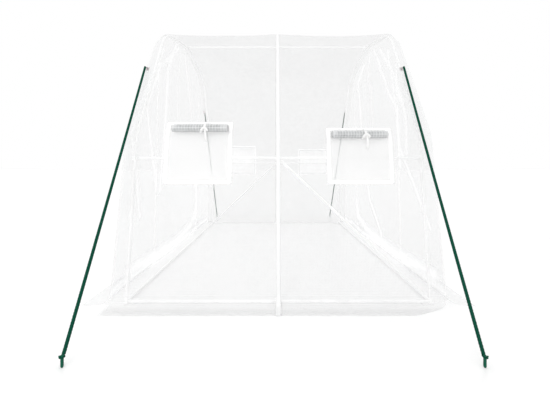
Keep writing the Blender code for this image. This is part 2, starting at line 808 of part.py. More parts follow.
def window(end, side):
    """A net in its hook-and-loop border, on the outside of the film, with its hanger strap."""
    half = WINDOW_WIDTH / 2
    bottom, top = length_at_height(WINDOW_SILL), length_at_height(WINDOW_HEADS[end])
    rows, row_gaps = net_marks(bottom + BORDER_WIDTH, top - BORDER_WIDTH)
    columns, column_gaps = net_marks(BORDER_WIDTH - half, half - BORDER_WIDTH)
    bends = [length for length in stations() if bottom < length < top]
    rows = thinned([bottom, *rows, *bends, top], bends)
    columns = [-half, *columns, half]
    grids = []
    for off in (OUTER_OFF + GAP, OUTER_OFF + GAP + BORDER_THICKNESS):
        grid = []
        for length in rows:
            out, high = on_stations(length, off)
            middle = end * WINDOW_FROM_MIDDLE
            grid.append([(middle + x, side * out, high) for x in columns])
        grids.append(grid)
    missing = {
        (r, c)
        for r, low in enumerate(rows[:-1])
        for c, left in enumerate(columns[:-1])
        if within((low + rows[r + 1]) / 2, row_gaps)
        and within((left + columns[c + 1]) / 2, column_gaps)
    }
    return boolean(sheet(*grids, missing), [hanger(end, side)], "UNION")


def net_marks(low, high):
    """Where a net's bars start and end across an opening, and the gaps between them."""
    pitch = (high - low - NET_BAR) / NET_GAPS
    starts = [low + NET_BAR / 2 + pitch * k for k in range(NET_GAPS)]
    gaps = [(start + NET_BAR / 2, start + pitch - NET_BAR / 2) for start in starts]
    return [mark for gap in gaps for mark in gap], gaps


def within(place, gaps):
    return any(low < place < high for low, high in gaps)


def thinned(marks, wanted):
    """Marks in order, without the ones that lie too near a wanted one."""
    kept = [m for m in marks if m in wanted or all(abs(m - w) > NET_BAR / 4 for w in wanted)]
    return sorted(kept)


def on_stations(length, off):
    """A point of the film, which is flat from one station to the next."""
    marks = stations()
    after = next(k for k, mark in enumerate(marks) if mark >= length)
    if after == 0:
        return hoop_at(length, off)
    share = (length - marks[after - 1]) / (marks[after] - marks[after - 1])
    low, high = hoop_at(marks[after - 1], off), hoop_at(marks[after], off)
    return tuple(a + (b - a) * share for a, b in zip(low, high))


TIE_SIDES = 16
TIE_INNER = (ROLL_RADIUS + GAP) / math.cos(math.pi / TIE_SIDES)
TIE_RADIUS = TIE_INNER + STRAP_THICKNESS
ROLL_OFF = OUTER_OFF + GAP + BORDER_THICKNESS + GAP + TIE_RADIUS


def roll_centre(end, side):
    """The middle of a rolled-up flap, on a line beside the leg that stays clear of the wall."""
    high = WINDOW_HEADS[end] - ROLL_DROP
    out = FOOT_OUT - (high - BASE_HEIGHT) * LEG_UP.y / LEG_UP.z + ROLL_OFF / LEG_UP.z
    return Vector((end * ROLLS_FROM_MIDDLE[end], side * out, high))


def hanger(end, side):
    """The strap at a window's head that the rolled flap hangs from."""
    top = length_at_height(WINDOW_HEADS[end])
    root_off = OUTER_OFF + GAP + BORDER_THICKNESS / 2
    roots = [on_stations(top - BORDER_WIDTH * share, root_off) for share in HANGER_ROOTS]
    roll = roll_centre(end, side)
    centre = Vector((abs(roll.y), roll.z))
    way = (Vector(roots[0]) - centre).normalized()
    square = Vector((-way.y, way.x)) * STRAP_THICKNESS / 2
    tip = centre + way * (TIE_RADIUS + GAP)
    outline = [Vector(roots[0]), Vector(roots[1]), tip + square, tip - square]
    x = roll.x + TIE_FROM_ROLL_MIDDLE - STRAP_WIDTH / 2
    outline = [(x, side * p[0], p[1]) for p in outline]
    return prism(outline, (STRAP_WIDTH, 0, 0))


def ribbon(path, thickness):
    """The two faces of a sheet of even thickness that follows a path of (out, height) points."""
    ways = directions([(*p, 0) for p in path])
    half = thickness / 2
    outer = [Vector((p[0] - w.y * half, p[1] + w.x * half)) for p, w in zip(path, ways)]
    inner = [Vector((p[0] + w.y * half, p[1] - w.x * half)) for p, w in zip(path, ways)]
    return outer, inner


def window_roll(end, side):
    """The window's flap, rolled up on itself outside the wall."""
    centre = roll_centre(end, side)
    steps = round(ROLL_TURNS * ROLL_POINTS_PER_TURN)
    last = ROLL_RADIUS - ROLL_SHEET / 2
    path = []
    for k in range(steps + 1):
        share = k / steps
        radius = ROLL_CORE_RADIUS + (last - ROLL_CORE_RADIUS) * share
        angle = math.tau * ROLL_TURNS * (share - 1) + math.pi * 0.6
        path.append((radius * math.cos(angle), radius * math.sin(angle)))
    outer, inner = ribbon(path, ROLL_SHEET)
    ends = (centre.x - ROLL_LENGTH / 2, centre.x + ROLL_LENGTH / 2)
    grids = [
        [[(x, centre.y + side * p[0], centre.z + p[1]) for x in ends] for p in line]
        for line in (inner, outer)
    ]
    return sheet(*grids)


def window_tie(end, side):
    """A strap round the rolled flap, tied in a bow in front, with two hanging tails."""
    centre = roll_centre(end, side) + Vector((TIE_FROM_ROLL_MIDDLE, 0, 0))
    out = Vector((0, side, 0))
    start = centre - Vector((STRAP_WIDTH / 2, 0, 0))
    loops = [
        ring_points(start, UPRIGHT, out, radius, radius, TIE_SIDES)
        for radius in (TIE_RADIUS, TIE_INNER)
    ]
    strap = band(*loops, (STRAP_WIDTH, 0, 0))
    front = centre + out * (TIE_RADIUS + KNOT / 2 - KNOT * KNOT_SUNK)
    pieces = [block(front, [UPRIGHT, out, LEVEL], [KNOT / 2] * 3)]
    for way in (-1, 1):
        middle = front + Vector((way * (BOW_LENGTH + KNOT / 2) / 2, 0, -STRAP_WIDTH / 2))
        rings = [
            ring_points(middle, LEVEL, UPRIGHT, BOW_LENGTH / 2 - t, BOW_DEPTH / 2 - t, 8)
            for t in (0, STRAP_THICKNESS)
        ]
        pieces.append(band(*rings, (0, 0, STRAP_WIDTH)))
    for way, length in ((-1, TAIL_SHORT), (1, TAIL_LONG)):
        half = Vector((STRAP_WIDTH * TAIL_HALF_WIDTH, 0, 0))
        low = front + Vector((way * TAIL_SPLAY, 0, -length))
        back = out * STRAP_THICKNESS * TAIL_LAYERS[way]
        outline = [p + back for p in (front - half, front + half, low + half, low - half)]
        pieces.append(prism(outline, out * STRAP_THICKNESS))
    return boolean(strap, pieces, "UNION")


def wall_x(high):
    """The inner face of an end wall, which leans in a little from the foot to the ridge."""
    return edge_x(high) + GAP


def end_rows(off):
    """Rows of an end wall from its skirt's edge up to the ridge, as (x, half width, height, fold)."""
    foot_width, foot_high = hoop_at(length_at_height(SKIRT_RISE), OUTER_OFF)
    foot_x = wall_x(SKIRT_RISE)
    base = hoop_at(length_at_height(SKIRT_RISE), FILM_OFF)[0]
    rows = []
    for out, high in skirt_rows(off, END_SKIRT):
        share = (out - base) / END_SKIRT
        rows.append((foot_x + out - base, foot_width + END_SKIRT_FLARE * share, high, 0.0))
    for length in stations():
        level = hoop_at(length, FILM_OFF)[1]
        out, high = hoop_at(length, OUTER_OFF)
        rows.append((wall_x(level) + off, *let_down(out, high, edge_droop(high)), 1.0))
    peak = RIDGE_TIP * ROOF_UP.z / ROOF_UP.y + EDGE_DROOP
    high = RIDGE_HEIGHT + OUTER_OFF / ROOF_UP.y - peak
    rows.append((wall_x(high) + off, RIDGE_TIP, high, 0.0))
    return rows


def end_wall(end):
    """An end wall: film on both sides of the doorway and over it, with the door's zip tapes."""
    door_level = hoop_at(length_at_height(DOOR_TOP), OUTER_OFF)
    grids = []
    for off in (0, FILM):
        grid = []
        for x, half, high, fold in end_rows(off):
            door = DOOR_HALF_WIDTH * min(1.0, half / door_level[0])
            jamb = half - door
            depth = JAMB_FOLD_DEPTH * fold * min(1.0, jamb / DOOR_HALF_WIDTH)
            line = []
            for share, out in zip(JAMB_SHARES, JAMB_FOLDS):
                line.append((end * (x + depth * out), -half + jamb * share, high))
            inner = [(end * x, -door * (1 - share), high) for share in (0, 0.5)]
            mirror = [(p[0], -p[1], p[2]) for p in reversed([*line, *inner])]
            grid.append([*line, *inner, (end * x, 0.0, high), *mirror])
        grids.append(grid)
    levels = [row[2] for row in end_rows(0)]
    doorway = range(len(JAMB_SHARES), len(JAMB_SHARES) + 4)
    missing = {
        (r, c)
        for r, pair in enumerate(zip(levels, levels[1:]))
        for c in doorway
        if sum(pair) / 2 < door_level[1]
    }
    tapes = [zip_tape(end, side) for side in SIDES.values()]
    return boolean(sheet(*grids, missing), tapes, "UNION")


def zip_tape(end, side):
    """One zip of a door: sewn to the end wall on one side, and lying over the door's edge."""
    over, face = FILM + GAP, FILM + GAP + ZIP_THICKNESS
    half = ZIP_WIDTH / 2
    section = [(FILM / 2, half), (FILM / 2, GAP), (over, GAP)]
    section += [(over, -half), (face, -half), (face, half)]
    rings = []
    for high in (SKIRT_RISE, DOOR_TOP + ZIP_WIDTH):
        for x, y in section:
            rings.append((end * (wall_x(high) + x), side * (DOOR_HALF_WIDTH + y), high))
    count = len(section)
    caps = [tuple(range(count)), tuple(range(count, 2 * count))]
    return mesh_from(rings, skin(2, 0, count) + caps)


def door(end):
    """The roll-up door: one piece of film that hangs in long folds between its two zips."""
    half = DOOR_HALF_WIDTH - GAP
    flat = ZIP_WIDTH / 2 + GAP
    steps = 4 * DOOR_FOLDS
    shares = [k / steps for k in range(steps + 1)]
    across = [-half] + [(half - flat) * (2 * share - 1) for share in shares] + [half]
    folds = [0.0] + [(1 - math.cos(math.tau * DOOR_FOLDS * share)) / 2 for share in shares] + [0.0]
    top = hoop_at(length_at_height(DOOR_TOP), OUTER_OFF)[1] - 3 * GAP
    rows = [(DOOR_FOOT, 0.15), (DOOR_FOOT + DOOR_FADE, 1.0), ((DOOR_FOOT + top) / 2, 1.0)]
    rows += [(top - 2 * DOOR_FADE, 0.8), (top - DOOR_FADE / 2, 0.25), (top, 0.0)]
    grids = []
    for off in (0, FILM):
        grid = []
        for high, share in rows:
            depth = DOOR_FOLD_DEPTH * share
            x = wall_x(high) + off
            grid.append([(end * (x + depth * f), y, high) for y, f in zip(across, folds)])
        grids.append(grid)
    return sheet(*grids)


def door_hem(end):
    """The door's weighted hem, with the flap that lies on the ground outside it."""
    radius = HEM_RADIUS - HEM_SHEET / 2
    high = DOOR_FOOT - GAP - HEM_RADIUS
    middle = wall_x(high)
    path = []
    for k in range(HEM_STEPS + 1):
        angle = HEM_FROM + (math.tau * 0.75 - HEM_FROM) * k / HEM_STEPS
        path.append((radius * math.cos(angle), high + radius * math.sin(angle)))
    ground = GAP + HEM_SHEET
    path += [(DOOR_FLAP / 3, high / 4 + ground / 2), (DOOR_FLAP, ground)]
    outer, inner = ribbon(path, HEM_SHEET)
    width = DOOR_HALF_WIDTH - ZIP_WIDTH / 2 - GAP
    grids = [
        [[(end * (middle + p[0]), y, p[1]) for y in (-width, width)] for p in line]
        for line in (outer, inner)
    ]
    return sheet(*grids)


def slider(end, side):
    """A zip slider with its pull tab, near the foot of the closed zip."""
    face = FILM + GAP + ZIP_THICKNESS + GAP
    slope = (END_LOOSE_TOP - END_LOOSE_FOOT) / RIDGE_HEIGHT
    lean = Vector((end * slope, 0, 1)).normalized()
    out = Vector((lean.z * end, 0, -lean.x * end))
    foot = Vector((end * wall_x(SLIDER_HEIGHT), side * DOOR_HALF_WIDTH, SLIDER_HEIGHT))
    centre = foot + out * (face + SLIDER_DEPTH / 2)
    halves = [SLIDER_DEPTH / 2, SLIDER_WIDTH / 2, SLIDER_LENGTH / 2]
    body = block(centre, [out, (0, 1, 0), lean], halves)
    hang = centre + out * SLIDER_DEPTH / 2 - lean * (PULL_LENGTH + SLIDER_LENGTH / 4) / 2
    halves = [PULL_DEPTH / 2, PULL_WIDTH / 2, PULL_LENGTH / 2]
    return boolean(body, [block(hang, [out, (0, 1, 0), lean], halves)], "UNION")


def rope_ends(end, side):
    """Where a guy rope leaves its loop and where it reaches its peg."""
    loop = guy_loop_centre(end, side)
    reach, rise = ROPE_RADIUS * ROPE_END_REACH, ROPE_RADIUS * ROPE_END_RISE
    loop_reach = LOOP_LENGTH / 2 * math.cos(math.pi / LOOP_SIDES)
    start = loop + Vector((0, side * (loop_reach + reach + GAP), rise))
    near_peg = PEG_OUT - PEG_RADIUS - reach - GAP
    peg_x = end * PEGS_FROM_MIDDLE[end, side]
    return start, Vector((peg_x, side * near_peg, PEG_HEIGHT * ROPE_AT_PEG))


def guy_rope(name, end, side, material):
    """A taut rope from the cover's loop down to its peg, with a slight sag."""
    start, stop = rope_ends(end, side)
    curve = bpy.data.curves.new(name, "CURVE")
    curve.dimensions = "3D"
    curve.bevel_depth = ROPE_RADIUS
    curve.bevel_resolution = 2
    curve.use_fill_caps = True
    line = curve.splines.new("POLY")
    line.points.add(ROPE_POINTS - 1)
    for k, point in enumerate(line.points):
        share = k / (ROPE_POINTS - 1)
        drop = Vector((0, 0, -4 * ROPE_SAG * share * (1 - share)))
        point.co = (*(start.lerp(stop, share) + drop), 1)
    curve.materials.append(material)
    rope = bpy.data.objects.new(name, curve)
    bpy.context.collection.objects.link(rope)


def peg(end, side):
    """A ground peg, as much as stands above the ground: a round pin with a short hook on top."""
    foot = Vector((end * PEGS_FROM_MIDDLE[end, side], side * PEG_OUT, 0))
    top = foot + Vector((0, 0, PEG_HEIGHT))
    marks = [foot.lerp(top, share) for share, _ in PEG_SHAPE]
    pin = rod(marks, UPRIGHT, [PEG_RADIUS * share for _, share in PEG_SHAPE], PEG_SIDES)
    root = foot.lerp(top, PEG_HOOK_AT)
    tip = root + Vector((end, side, 0)).normalized() * (PEG_RADIUS + PEG_HOOK_REACH)
    tip.z -= PEG_HOOK_RADIUS
    hook = rod([root, tip], LEVEL, [PEG_HOOK_RADIUS] * 2, PEG_SIDES)
    return boolean(pin, [hook], "UNION")


def build_cover():
    """The film cover, its joining strip, the windows and the end walls with their doors."""
    film = finish("clear woven film", (0.93, 0.94, 0.94), 0.4, alpha=0.45)
    welded = finish("welded film strip", (0.96, 0.96, 0.96), 0.45, alpha=0.8)
    net = finish("white net", (0.94, 0.94, 0.94), 0.7)
    rolled = finish("rolled film", (0.62, 0.63, 0.64), 0.5)
    strap = finish("white strap", (0.95, 0.95, 0.95), 0.7)
    slides = finish("zip slider", (0.80, 0.80, 0.81), 0.4)
    node("centre_seam", seam_strip(), welded)
    for end_name, end in ENDS.items():
        node(f"cover_{end_name}", cover_half(end), film, smooth=True)
        node(f"{end_name}_end_wall", end_wall(end), film)
        node(f"{end_name}_door", door(end), film, smooth=True)
        hem = node(f"{end_name}_door_hem", door_hem(end), film)
        set_origin(hem, (end * wall_x(DOOR_FOOT), 0, DOOR_FOOT))
        for side_name, side in SIDES.items():
            name = f"{side_name}_{end_name}"
            node(f"{name}_window", window(end, side), net)
            roll = node(f"{name}_roll", window_roll(end, side), rolled, smooth=True)
            set_origin(roll, roll_centre(end, side))
            tie = node(f"{name}_tie", window_tie(end, side), strap)
            set_origin(tie, roll_centre(end, side))
            pull = node(f"{name}_zip_slider", slider(end, side), slides)
            set_origin(pull, (end * wall_x(SLIDER_HEIGHT), side * DOOR_HALF_WIDTH, SLIDER_HEIGHT))


def build_guys():
    """The four guy ropes and their pegs."""
    rope = finish("green rope", (0.01, 0.10, 0.06), 0.7)
    plastic = finish("green plastic", (0.01, 0.12, 0.07), 0.4)
    for side_name, side in SIDES.items():
        for end_name, end in ENDS.items():
            guy_rope(f"{side_name}_{end_name}_rope", end, side, rope)
            node(f"{side_name}_{end_name}_peg", peg(end, side), plastic, smooth=True)


clear_scene()
build_frame()
build_cover()
build_guys()
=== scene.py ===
"""A walk-in tunnel greenhouse: white tube hoops under a loose see-through film cover."""

import math

import bpy
import numpy as np
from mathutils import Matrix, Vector, noise


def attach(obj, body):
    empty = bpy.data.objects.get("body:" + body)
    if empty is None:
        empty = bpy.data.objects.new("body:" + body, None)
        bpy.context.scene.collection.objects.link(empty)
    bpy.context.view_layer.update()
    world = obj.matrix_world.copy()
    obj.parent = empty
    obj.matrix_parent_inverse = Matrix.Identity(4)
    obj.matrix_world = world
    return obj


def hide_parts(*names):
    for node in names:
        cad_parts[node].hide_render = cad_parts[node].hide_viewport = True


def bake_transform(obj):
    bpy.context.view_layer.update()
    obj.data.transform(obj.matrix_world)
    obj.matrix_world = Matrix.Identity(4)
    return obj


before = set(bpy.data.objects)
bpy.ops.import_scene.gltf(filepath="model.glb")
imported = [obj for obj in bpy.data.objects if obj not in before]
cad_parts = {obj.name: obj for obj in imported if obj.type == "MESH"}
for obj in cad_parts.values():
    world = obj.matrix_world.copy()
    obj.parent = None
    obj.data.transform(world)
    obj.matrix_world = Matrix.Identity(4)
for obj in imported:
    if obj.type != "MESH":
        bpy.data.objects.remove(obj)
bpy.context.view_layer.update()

# The studio: a white paper floor that runs out of sight in a white room, which lights the tunnel
# evenly from all round, with one big soft lamp above the photographer's left shoulder. The paper
# shows white to the camera and still keeps the tunnel's soft shadow.

PAPER_HALF = 60.0
PAPER_DROP = 0.0006
PAPER_COLOUR = (0.872, 0.872, 0.872, 1)
PAPER_GLOW = 0.11
ROOM_LIGHT = 1.0
LAMP_POWER = 60.0
LAMP_SIZE = 2.5
LAMP_PLACE = (-1.4, -5.6, 2.3)
LAMP_AIM = (0, 0, 0.8)
PHOTO_WIDTH, PHOTO_HEIGHT, PHOTO_EYE_LEVEL = 550, 412, 167
FOCAL_PIXELS = 239
SENSOR = 36
EYE = (-0.02, -2.40, 0.80)


def new_material(name, **values):
    """A material, its node tree, and its Principled shader with some inputs filled in."""
    made = bpy.data.materials.new(name)
    made.use_nodes = True
    shader = made.node_tree.nodes["Principled BSDF"]
    for key, value in values.items():
        shader.inputs[key.replace("_", " ")].default_value = value
    return made, made.node_tree, shader


def feed(tree, socket, value):
    """Links a socket to another node's output, or gives it a plain value."""
    if isinstance(value, bpy.types.NodeSocket):
        tree.links.new(value, socket)
    else:
        socket.default_value = value


def add_node(tree, kind, inputs=(), **settings):
    made = tree.nodes.new(kind)
    for key, value in settings.items():
        setattr(made, key, value)
    for key, value in dict(inputs).items():
        feed(tree, made.inputs[key], value)
    return made


def math_node(tree, operation, first, second=0.0, third=0.0):
    inputs = {0: first, 1: second, 2: third}
    return add_node(tree, "ShaderNodeMath", inputs, operation=operation).outputs[0]


def new_piece(name, points, faces, material, smooth=True):
    """A mesh object made of points and faces in the row frame."""
    mesh = bpy.data.meshes.new(name)
    mesh.from_pydata([tuple(p) for p in points], [], faces)
    mesh.update()
    mesh.materials.append(material)
    mesh.polygons.foreach_set("use_smooth", [smooth] * len(mesh.polygons))
    made = bpy.data.objects.new(name, mesh)
    bpy.context.scene.collection.objects.link(made)
    return made


def seen_directly(tree):
    """1 for what the camera sees as it is, in a gloss or through glass, and 0 for plain light."""
    path = add_node(tree, "ShaderNodeLightPath").outputs
    plain = math_node(tree, "MAXIMUM", path["Is Camera Ray"], path["Is Glossy Ray"])
    return math_node(tree, "MAXIMUM", plain, path["Is Transmission Ray"])


paper, tree, shader = new_material(
    "white_paper", Base_Color=PAPER_COLOUR, Roughness=0.24, Emission_Color=(1, 1, 1, 1)
)
glow = math_node(tree, "MULTIPLY", seen_directly(tree), PAPER_GLOW)
feed(tree, shader.inputs["Emission Strength"], glow)
corners = [(PAPER_HALF * x, PAPER_HALF * y) for x, y in ((-1, -1), (1, -1), (1, 1), (-1, 1))]
new_piece("paper_floor", [(*c, -PAPER_DROP) for c in corners], [(0, 1, 2, 3)], paper)

room = bpy.data.worlds.new("white_room")
bpy.context.scene.world = room
room.use_nodes = True
tree = room.node_tree
lit = tree.nodes["Background"]
lit.inputs["Color"].default_value = (1, 1, 1, 1)
lit.inputs["Strength"].default_value = ROOM_LIGHT
shown = add_node(tree, "ShaderNodeBackground", {"Color": (1, 1, 1, 1), "Strength": 1.0})
shares = {0: seen_directly(tree), 1: lit.outputs[0], 2: shown.outputs[0]}
mixed = add_node(tree, "ShaderNodeMixShader", shares)
tree.links.new(mixed.outputs[0], tree.nodes["World Output"].inputs["Surface"])

soft_box = bpy.data.lights.new("soft_box", "AREA")
soft_box.energy = LAMP_POWER
soft_box.size = LAMP_SIZE
lamp = bpy.data.objects.new("soft_box", soft_box)
bpy.context.scene.collection.objects.link(lamp)
lamp.location = LAMP_PLACE
lamp.rotation_euler = (Vector(LAMP_AIM) - lamp.location).to_track_quat("-Z", "Y").to_euler()

lens = bpy.data.cameras.new("camera")
lens.sensor_width = SENSOR
lens.lens = FOCAL_PIXELS / PHOTO_WIDTH * SENSOR
lens.shift_y = (PHOTO_EYE_LEVEL - PHOTO_HEIGHT / 2) / PHOTO_WIDTH
lens.clip_start = 0.05
camera = bpy.data.objects.new("camera", lens)
bpy.context.scene.collection.objects.link(camera)
camera.location = EYE
camera.rotation_euler = (math.pi / 2, 0, 0)
bpy.context.scene.camera = camera
bpy.context.scene.view_settings.view_transform = "Standard"

# The frame: thin round steel tube, plugged together with cast fittings at the feet, the middle
# rails and the ridge, and bolted where the two flattened braces meet them. All of it is powder
# coated in white, with a faint orange-peel skin that is duller where hands have worn it.

COAT_WHITE = (0.98, 0.98, 0.98, 1)
COAT_DULL = (0.93, 0.93, 0.925, 1)
# COAT_GLOW is a faint painted glow of the coat's own, which lifts the tubes' white above what the
# lamps give them.
COAT_GLOW = 0.07
FRAME_PARTS = ("_leg", "_bow", "_rail", "_brace", "_cross")


def new_group(name, inputs, outputs):
    """A node group with named inputs and outputs, and its own input and output sockets."""
    group = bpy.data.node_groups.new(name, "ShaderNodeTree")
    for way, sockets in (("INPUT", inputs), ("OUTPUT", outputs)):
        for key, kind in sockets.items():
            group.interface.new_socket(name=key, in_out=way, socket_type="NodeSocket" + kind)
    given = group.nodes.new("NodeGroupInput").outputs
    return group, given, group.nodes.new("NodeGroupOutput").inputs


def use_group(tree, group, **inputs):
    return add_node(tree, "ShaderNodeGroup", inputs, node_tree=group).outputs["Mask"]


def noise_node(tree, place, scale, detail=4.0):
    inputs = {"Vector": place, "Scale": scale, "Detail": detail}
    return add_node(tree, "ShaderNodeTexNoise", inputs).outputs["Fac"]


def ranged(tree, value, low, high, to_low=0.0, to_high=1.0):
    inputs = {0: value, 1: low, 2: high, 3: to_low, 4: to_high}
    return add_node(tree, "ShaderNodeMapRange", inputs).outputs[0]


def between(tree, share, first, second):
    """A colour between two others."""
    made = add_node(tree, "ShaderNodeMix", {0: share, 6: first, 7: second}, data_type="RGBA")
    return made.outputs[2]


def coloured(tree, shader, share, first, second):
    feed(tree, shader.inputs["Base Color"], between(tree, share, first, second))


def bumped(tree, shader, height, distance, strength=1.0):
    inputs = {"Height": height, "Distance": distance, "Strength": strength}
    bump = add_node(tree, "ShaderNodeBump", inputs)
    tree.links.new(bump.outputs[0], shader.inputs["Normal"])


def object_place(tree):
    return add_node(tree, "ShaderNodeTexCoord").outputs["Object"]


# Soiling: soft patches of one size with finer specks in them, as a mask from 0 to 1
soiling, given, result = new_group(
    "soiling", {"Place": "Vector", "Patches": "Float", "Specks": "Float"}, {"Mask": "Float"}
)
patches = noise_node(soiling, given["Place"], given["Patches"], 3.0)
specks = noise_node(soiling, given["Place"], given["Specks"], 2.0)
both = math_node(soiling, "MULTIPLY_ADD", specks, 0.35, patches)
feed(soiling, result["Mask"], ranged(soiling, both, 0.55, 0.95))


def soiled(tree, patches, specks):
    """The soiling on a piece, with the scales of its patches and its specks."""
    return use_group(tree, soiling, Place=object_place(tree), Patches=patches, Specks=specks)


def worn_skin(name, clean, worn, patches, specks, grain, depth=0.0002, dull=0.55, **values):
    """A hard skin: one colour clean and one worn, duller where it is worn, with a fine grain."""
    made, tree, shader = new_material(name, **values)
    wear = soiled(tree, patches, specks)
    coloured(tree, shader, wear, clean, worn)
    glossy = shader.inputs["Roughness"]
    feed(tree, glossy, ranged(tree, wear, 0, 1, glossy.default_value, dull))
    bumped(tree, shader, noise_node(tree, object_place(tree), grain, 2.0), depth, 0.4)
    return made


def dress(part, material):
    part.data.materials.clear()
    part.data.materials.append(material)


gloss = {"Roughness": 0.32, "Coat_Weight": 0.4, "Coat_Roughness": 0.12}
painted_glow = {"Emission_Color": COAT_WHITE, "Emission_Strength": COAT_GLOW}
wear = {"patches": 9.0, "specks": 140.0, "grain": 900.0}
coat = worn_skin("powder_coat", COAT_WHITE, COAT_DULL, **wear, **gloss, **painted_glow)
for name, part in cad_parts.items():
    if name.endswith(FRAME_PARTS):
        dress(part, coat)

# The cover: two halves of see-through film with a woven thread grid inside, laid over the hoops. It
# runs down both long sides, lies out on the ground as a loose skirt, and hangs a little between
# the hoops and off the end ones. Each side wall is cut open behind its window.

HOOP_CORNERS = ((1.00, 0.014), (0.895, 1.00), (0.50, 1.87), (0.0, 2.00))
HOOP_RADII = (0.35, 0.30)
HOOP_STEP = math.radians(2)
BAY = 0.89
CLEAR = 0.0003
FILM_THICK = 0.001
FILM_OFF = 0.0123
OUTER_OFF = FILM_OFF + FILM_THICK
MIDDLE_OFF = FILM_OFF + FILM_THICK / 2
ON_HOOP = 0.0126
SIDE_SKIRT = 0.108
SKIRT_RISE, SKIRT_BEND = 0.050, 0.11
SKIRT_ROWS, SKIRT_SLACK = 11, 1.15
LOOSE_TOP, LOOSE_FOOT = 0.030, 0.078
DROOP, DROOP_START, DROOP_FULL = 0.020, 1.72, 1.84
WINDOW_MIDDLES, WINDOW_HALVES = {-1: 0.496, 1: 0.506}, {-1: 0.208, 1: 0.203}
WINDOW_SILL = 0.695
WINDOW_HEADS = {-1: 1.080, 1: 1.040}
BORDER = 0.022
SHOULDER_SAG, ROOF_SAG = 0.015, 0.022
CORNER_CUT, CORNER_FROM, CORNER_ROUND = 0.24, 0.72, 1.6
GRID_STEP, EDGE_COLUMNS = 0.020, 4
WRINKLE, SKIRT_WRINKLE = 0.0045, 0.004
CREASES, RIPPLES = ((2.6, 1.7), 3.1), ((13.0, 4.0), 7.7)
RIPPLED = (0.62, 0.93)
FLAT_BY_BORDER, FLAT_BY_STRIP, FLAT_BY_RIDGE = (0.004, 0.05), (0.02, 0.06), (0.0, 0.1)
SHOULDER = 1.915
# The wrinkle share paints the ridges of the wrinkles near the ends whiter, as a painted highlight.
HEM, HEM_FADE, HEM_WHITE, WRINKLE_HIGHLIGHT = 0.012, 0.008, 0.35, 0.25
# The skirt's extra veil is partly doubled film and partly painted shade where it lies on the
# ground.
SKIRT_HEM, SKIRT_DOUBLE_SHADE = (0.80, 0.86), (0.15, 0.95)
FILM_GREY = (0.60, 0.605, 0.61, 1)
FILM_WHITE = (0.97, 0.97, 0.97, 1)
FILM_VEIL, FILM_THREADS, FILM_GATHER = 0.175, 0.08, 0.26
# This extra veil, where the film lies doubled, also paints in shade on the skirt.
FILM_DOUBLE_SHADE, FILM_HAZE = 0.12, 0.05
SHADOW_SHARE = 0.45
THREAD_PITCH, THREAD_WIDTH = 0.0085, 0.0009
SIDES = {"near": -1, "far": 1}
ENDS = {"left": -1, "right": 1}
CORNERS = [(f"{side}_{end}", ENDS[end], SIDES[side]) for end in ENDS for side in SIDES]


def running(path):
    """The length along a path up to each of its points."""
    return np.concatenate([[0], np.cumsum(np.linalg.norm(np.diff(path, axis=0), axis=1))])


def unit(ways):
    return ways / np.linalg.norm(ways, axis=-1, keepdims=True)


def stacked(*parts):
    """Points from their coordinates, each spread over the whole grid."""
    return np.stack(np.broadcast_arrays(*parts), -1)


def hoop_line():
    """The hoop's middle line from the foot to the ridge: out, height, length, and its normal."""
    path = [Vector(HOOP_CORNERS[0])]
    corners = zip(HOOP_CORNERS, HOOP_CORNERS[1:], HOOP_CORNERS[2:], HOOP_RADII)
    for before, corner, after, radius in corners:
        before, corner, after = Vector(before), Vector(corner), Vector(after)
        arrive, leave = (corner - before).normalized(), (after - corner).normalized()
        bend = arrive.angle(leave)
        centre = corner + (leave - arrive).normalized() * (radius / math.cos(bend / 2))
        start = corner - arrive * radius * math.tan(bend / 2) - centre
        for k in range(math.ceil(bend / HOOP_STEP) + 1):
            angle = bend * k / math.ceil(bend / HOOP_STEP)
            path.append(centre + start * math.cos(angle) + arrive * radius * math.sin(angle))
    path = np.array([*path, Vector(HOOP_CORNERS[-1])])
    length = running(path)
    ways = unit(np.gradient(path, length, axis=0))
    return path[:, 0], path[:, 1], length, ways[:, 1], -ways[:, 0]


HOOP_OUT, HOOP_HIGH, HOOP_LENGTH, NORMAL_OUT, NORMAL_HIGH = hoop_line()
RIDGE_LENGTH = float(HOOP_LENGTH[-1])


def length_at(high):
    """The length along the hoop at a height."""
    return np.interp(high, HOOP_HIGH, HOOP_LENGTH)


def normal_at(length):
    ways = stacked(*(np.interp(length, HOOP_LENGTH, n) for n in (NORMAL_OUT, NORMAL_HIGH)))
    return np.moveaxis(unit(ways), -1, 0)


def film_at(length, off):
    """The points (out, height) of the film at lengths along the hoop, some way off its middle."""
    out, high = (np.interp(length, HOOP_LENGTH, n) for n in (HOOP_OUT, HOOP_HIGH))
    way_out, way_high = normal_at(length)
    return out + way_out * off, high + way_high * off


def edge_x(high):
    """Where the cover's end edge hangs, which is further out at the foot than at the ridge."""
    loose = LOOSE_TOP + (LOOSE_FOOT - LOOSE_TOP) * (1 - np.asarray(high) / HOOP_CORNERS[-1][1])
    return BAY + FILM_OFF + loose


def smooth(value, low, high):
    share = np.clip((np.asarray(value, float) - low) / (high - low), 0, 1)
    return share * share * (3 - 2 * share)


def noise_at(grid, scales, seed):
    """Smooth noise from -1 to 1 over an array of points, with its own scale along each axis."""
    flat = np.asarray(grid, float).reshape(-1, np.shape(grid)[-1]) * scales
    places = [Vector((*p[:2], seed)) if len(p) == 2 else Vector(p) for p in flat]
    values = [noise.fractal(p, 0.9, 2.0, 2) for p in places]
    return np.array(values).reshape(np.shape(grid)[:-1])


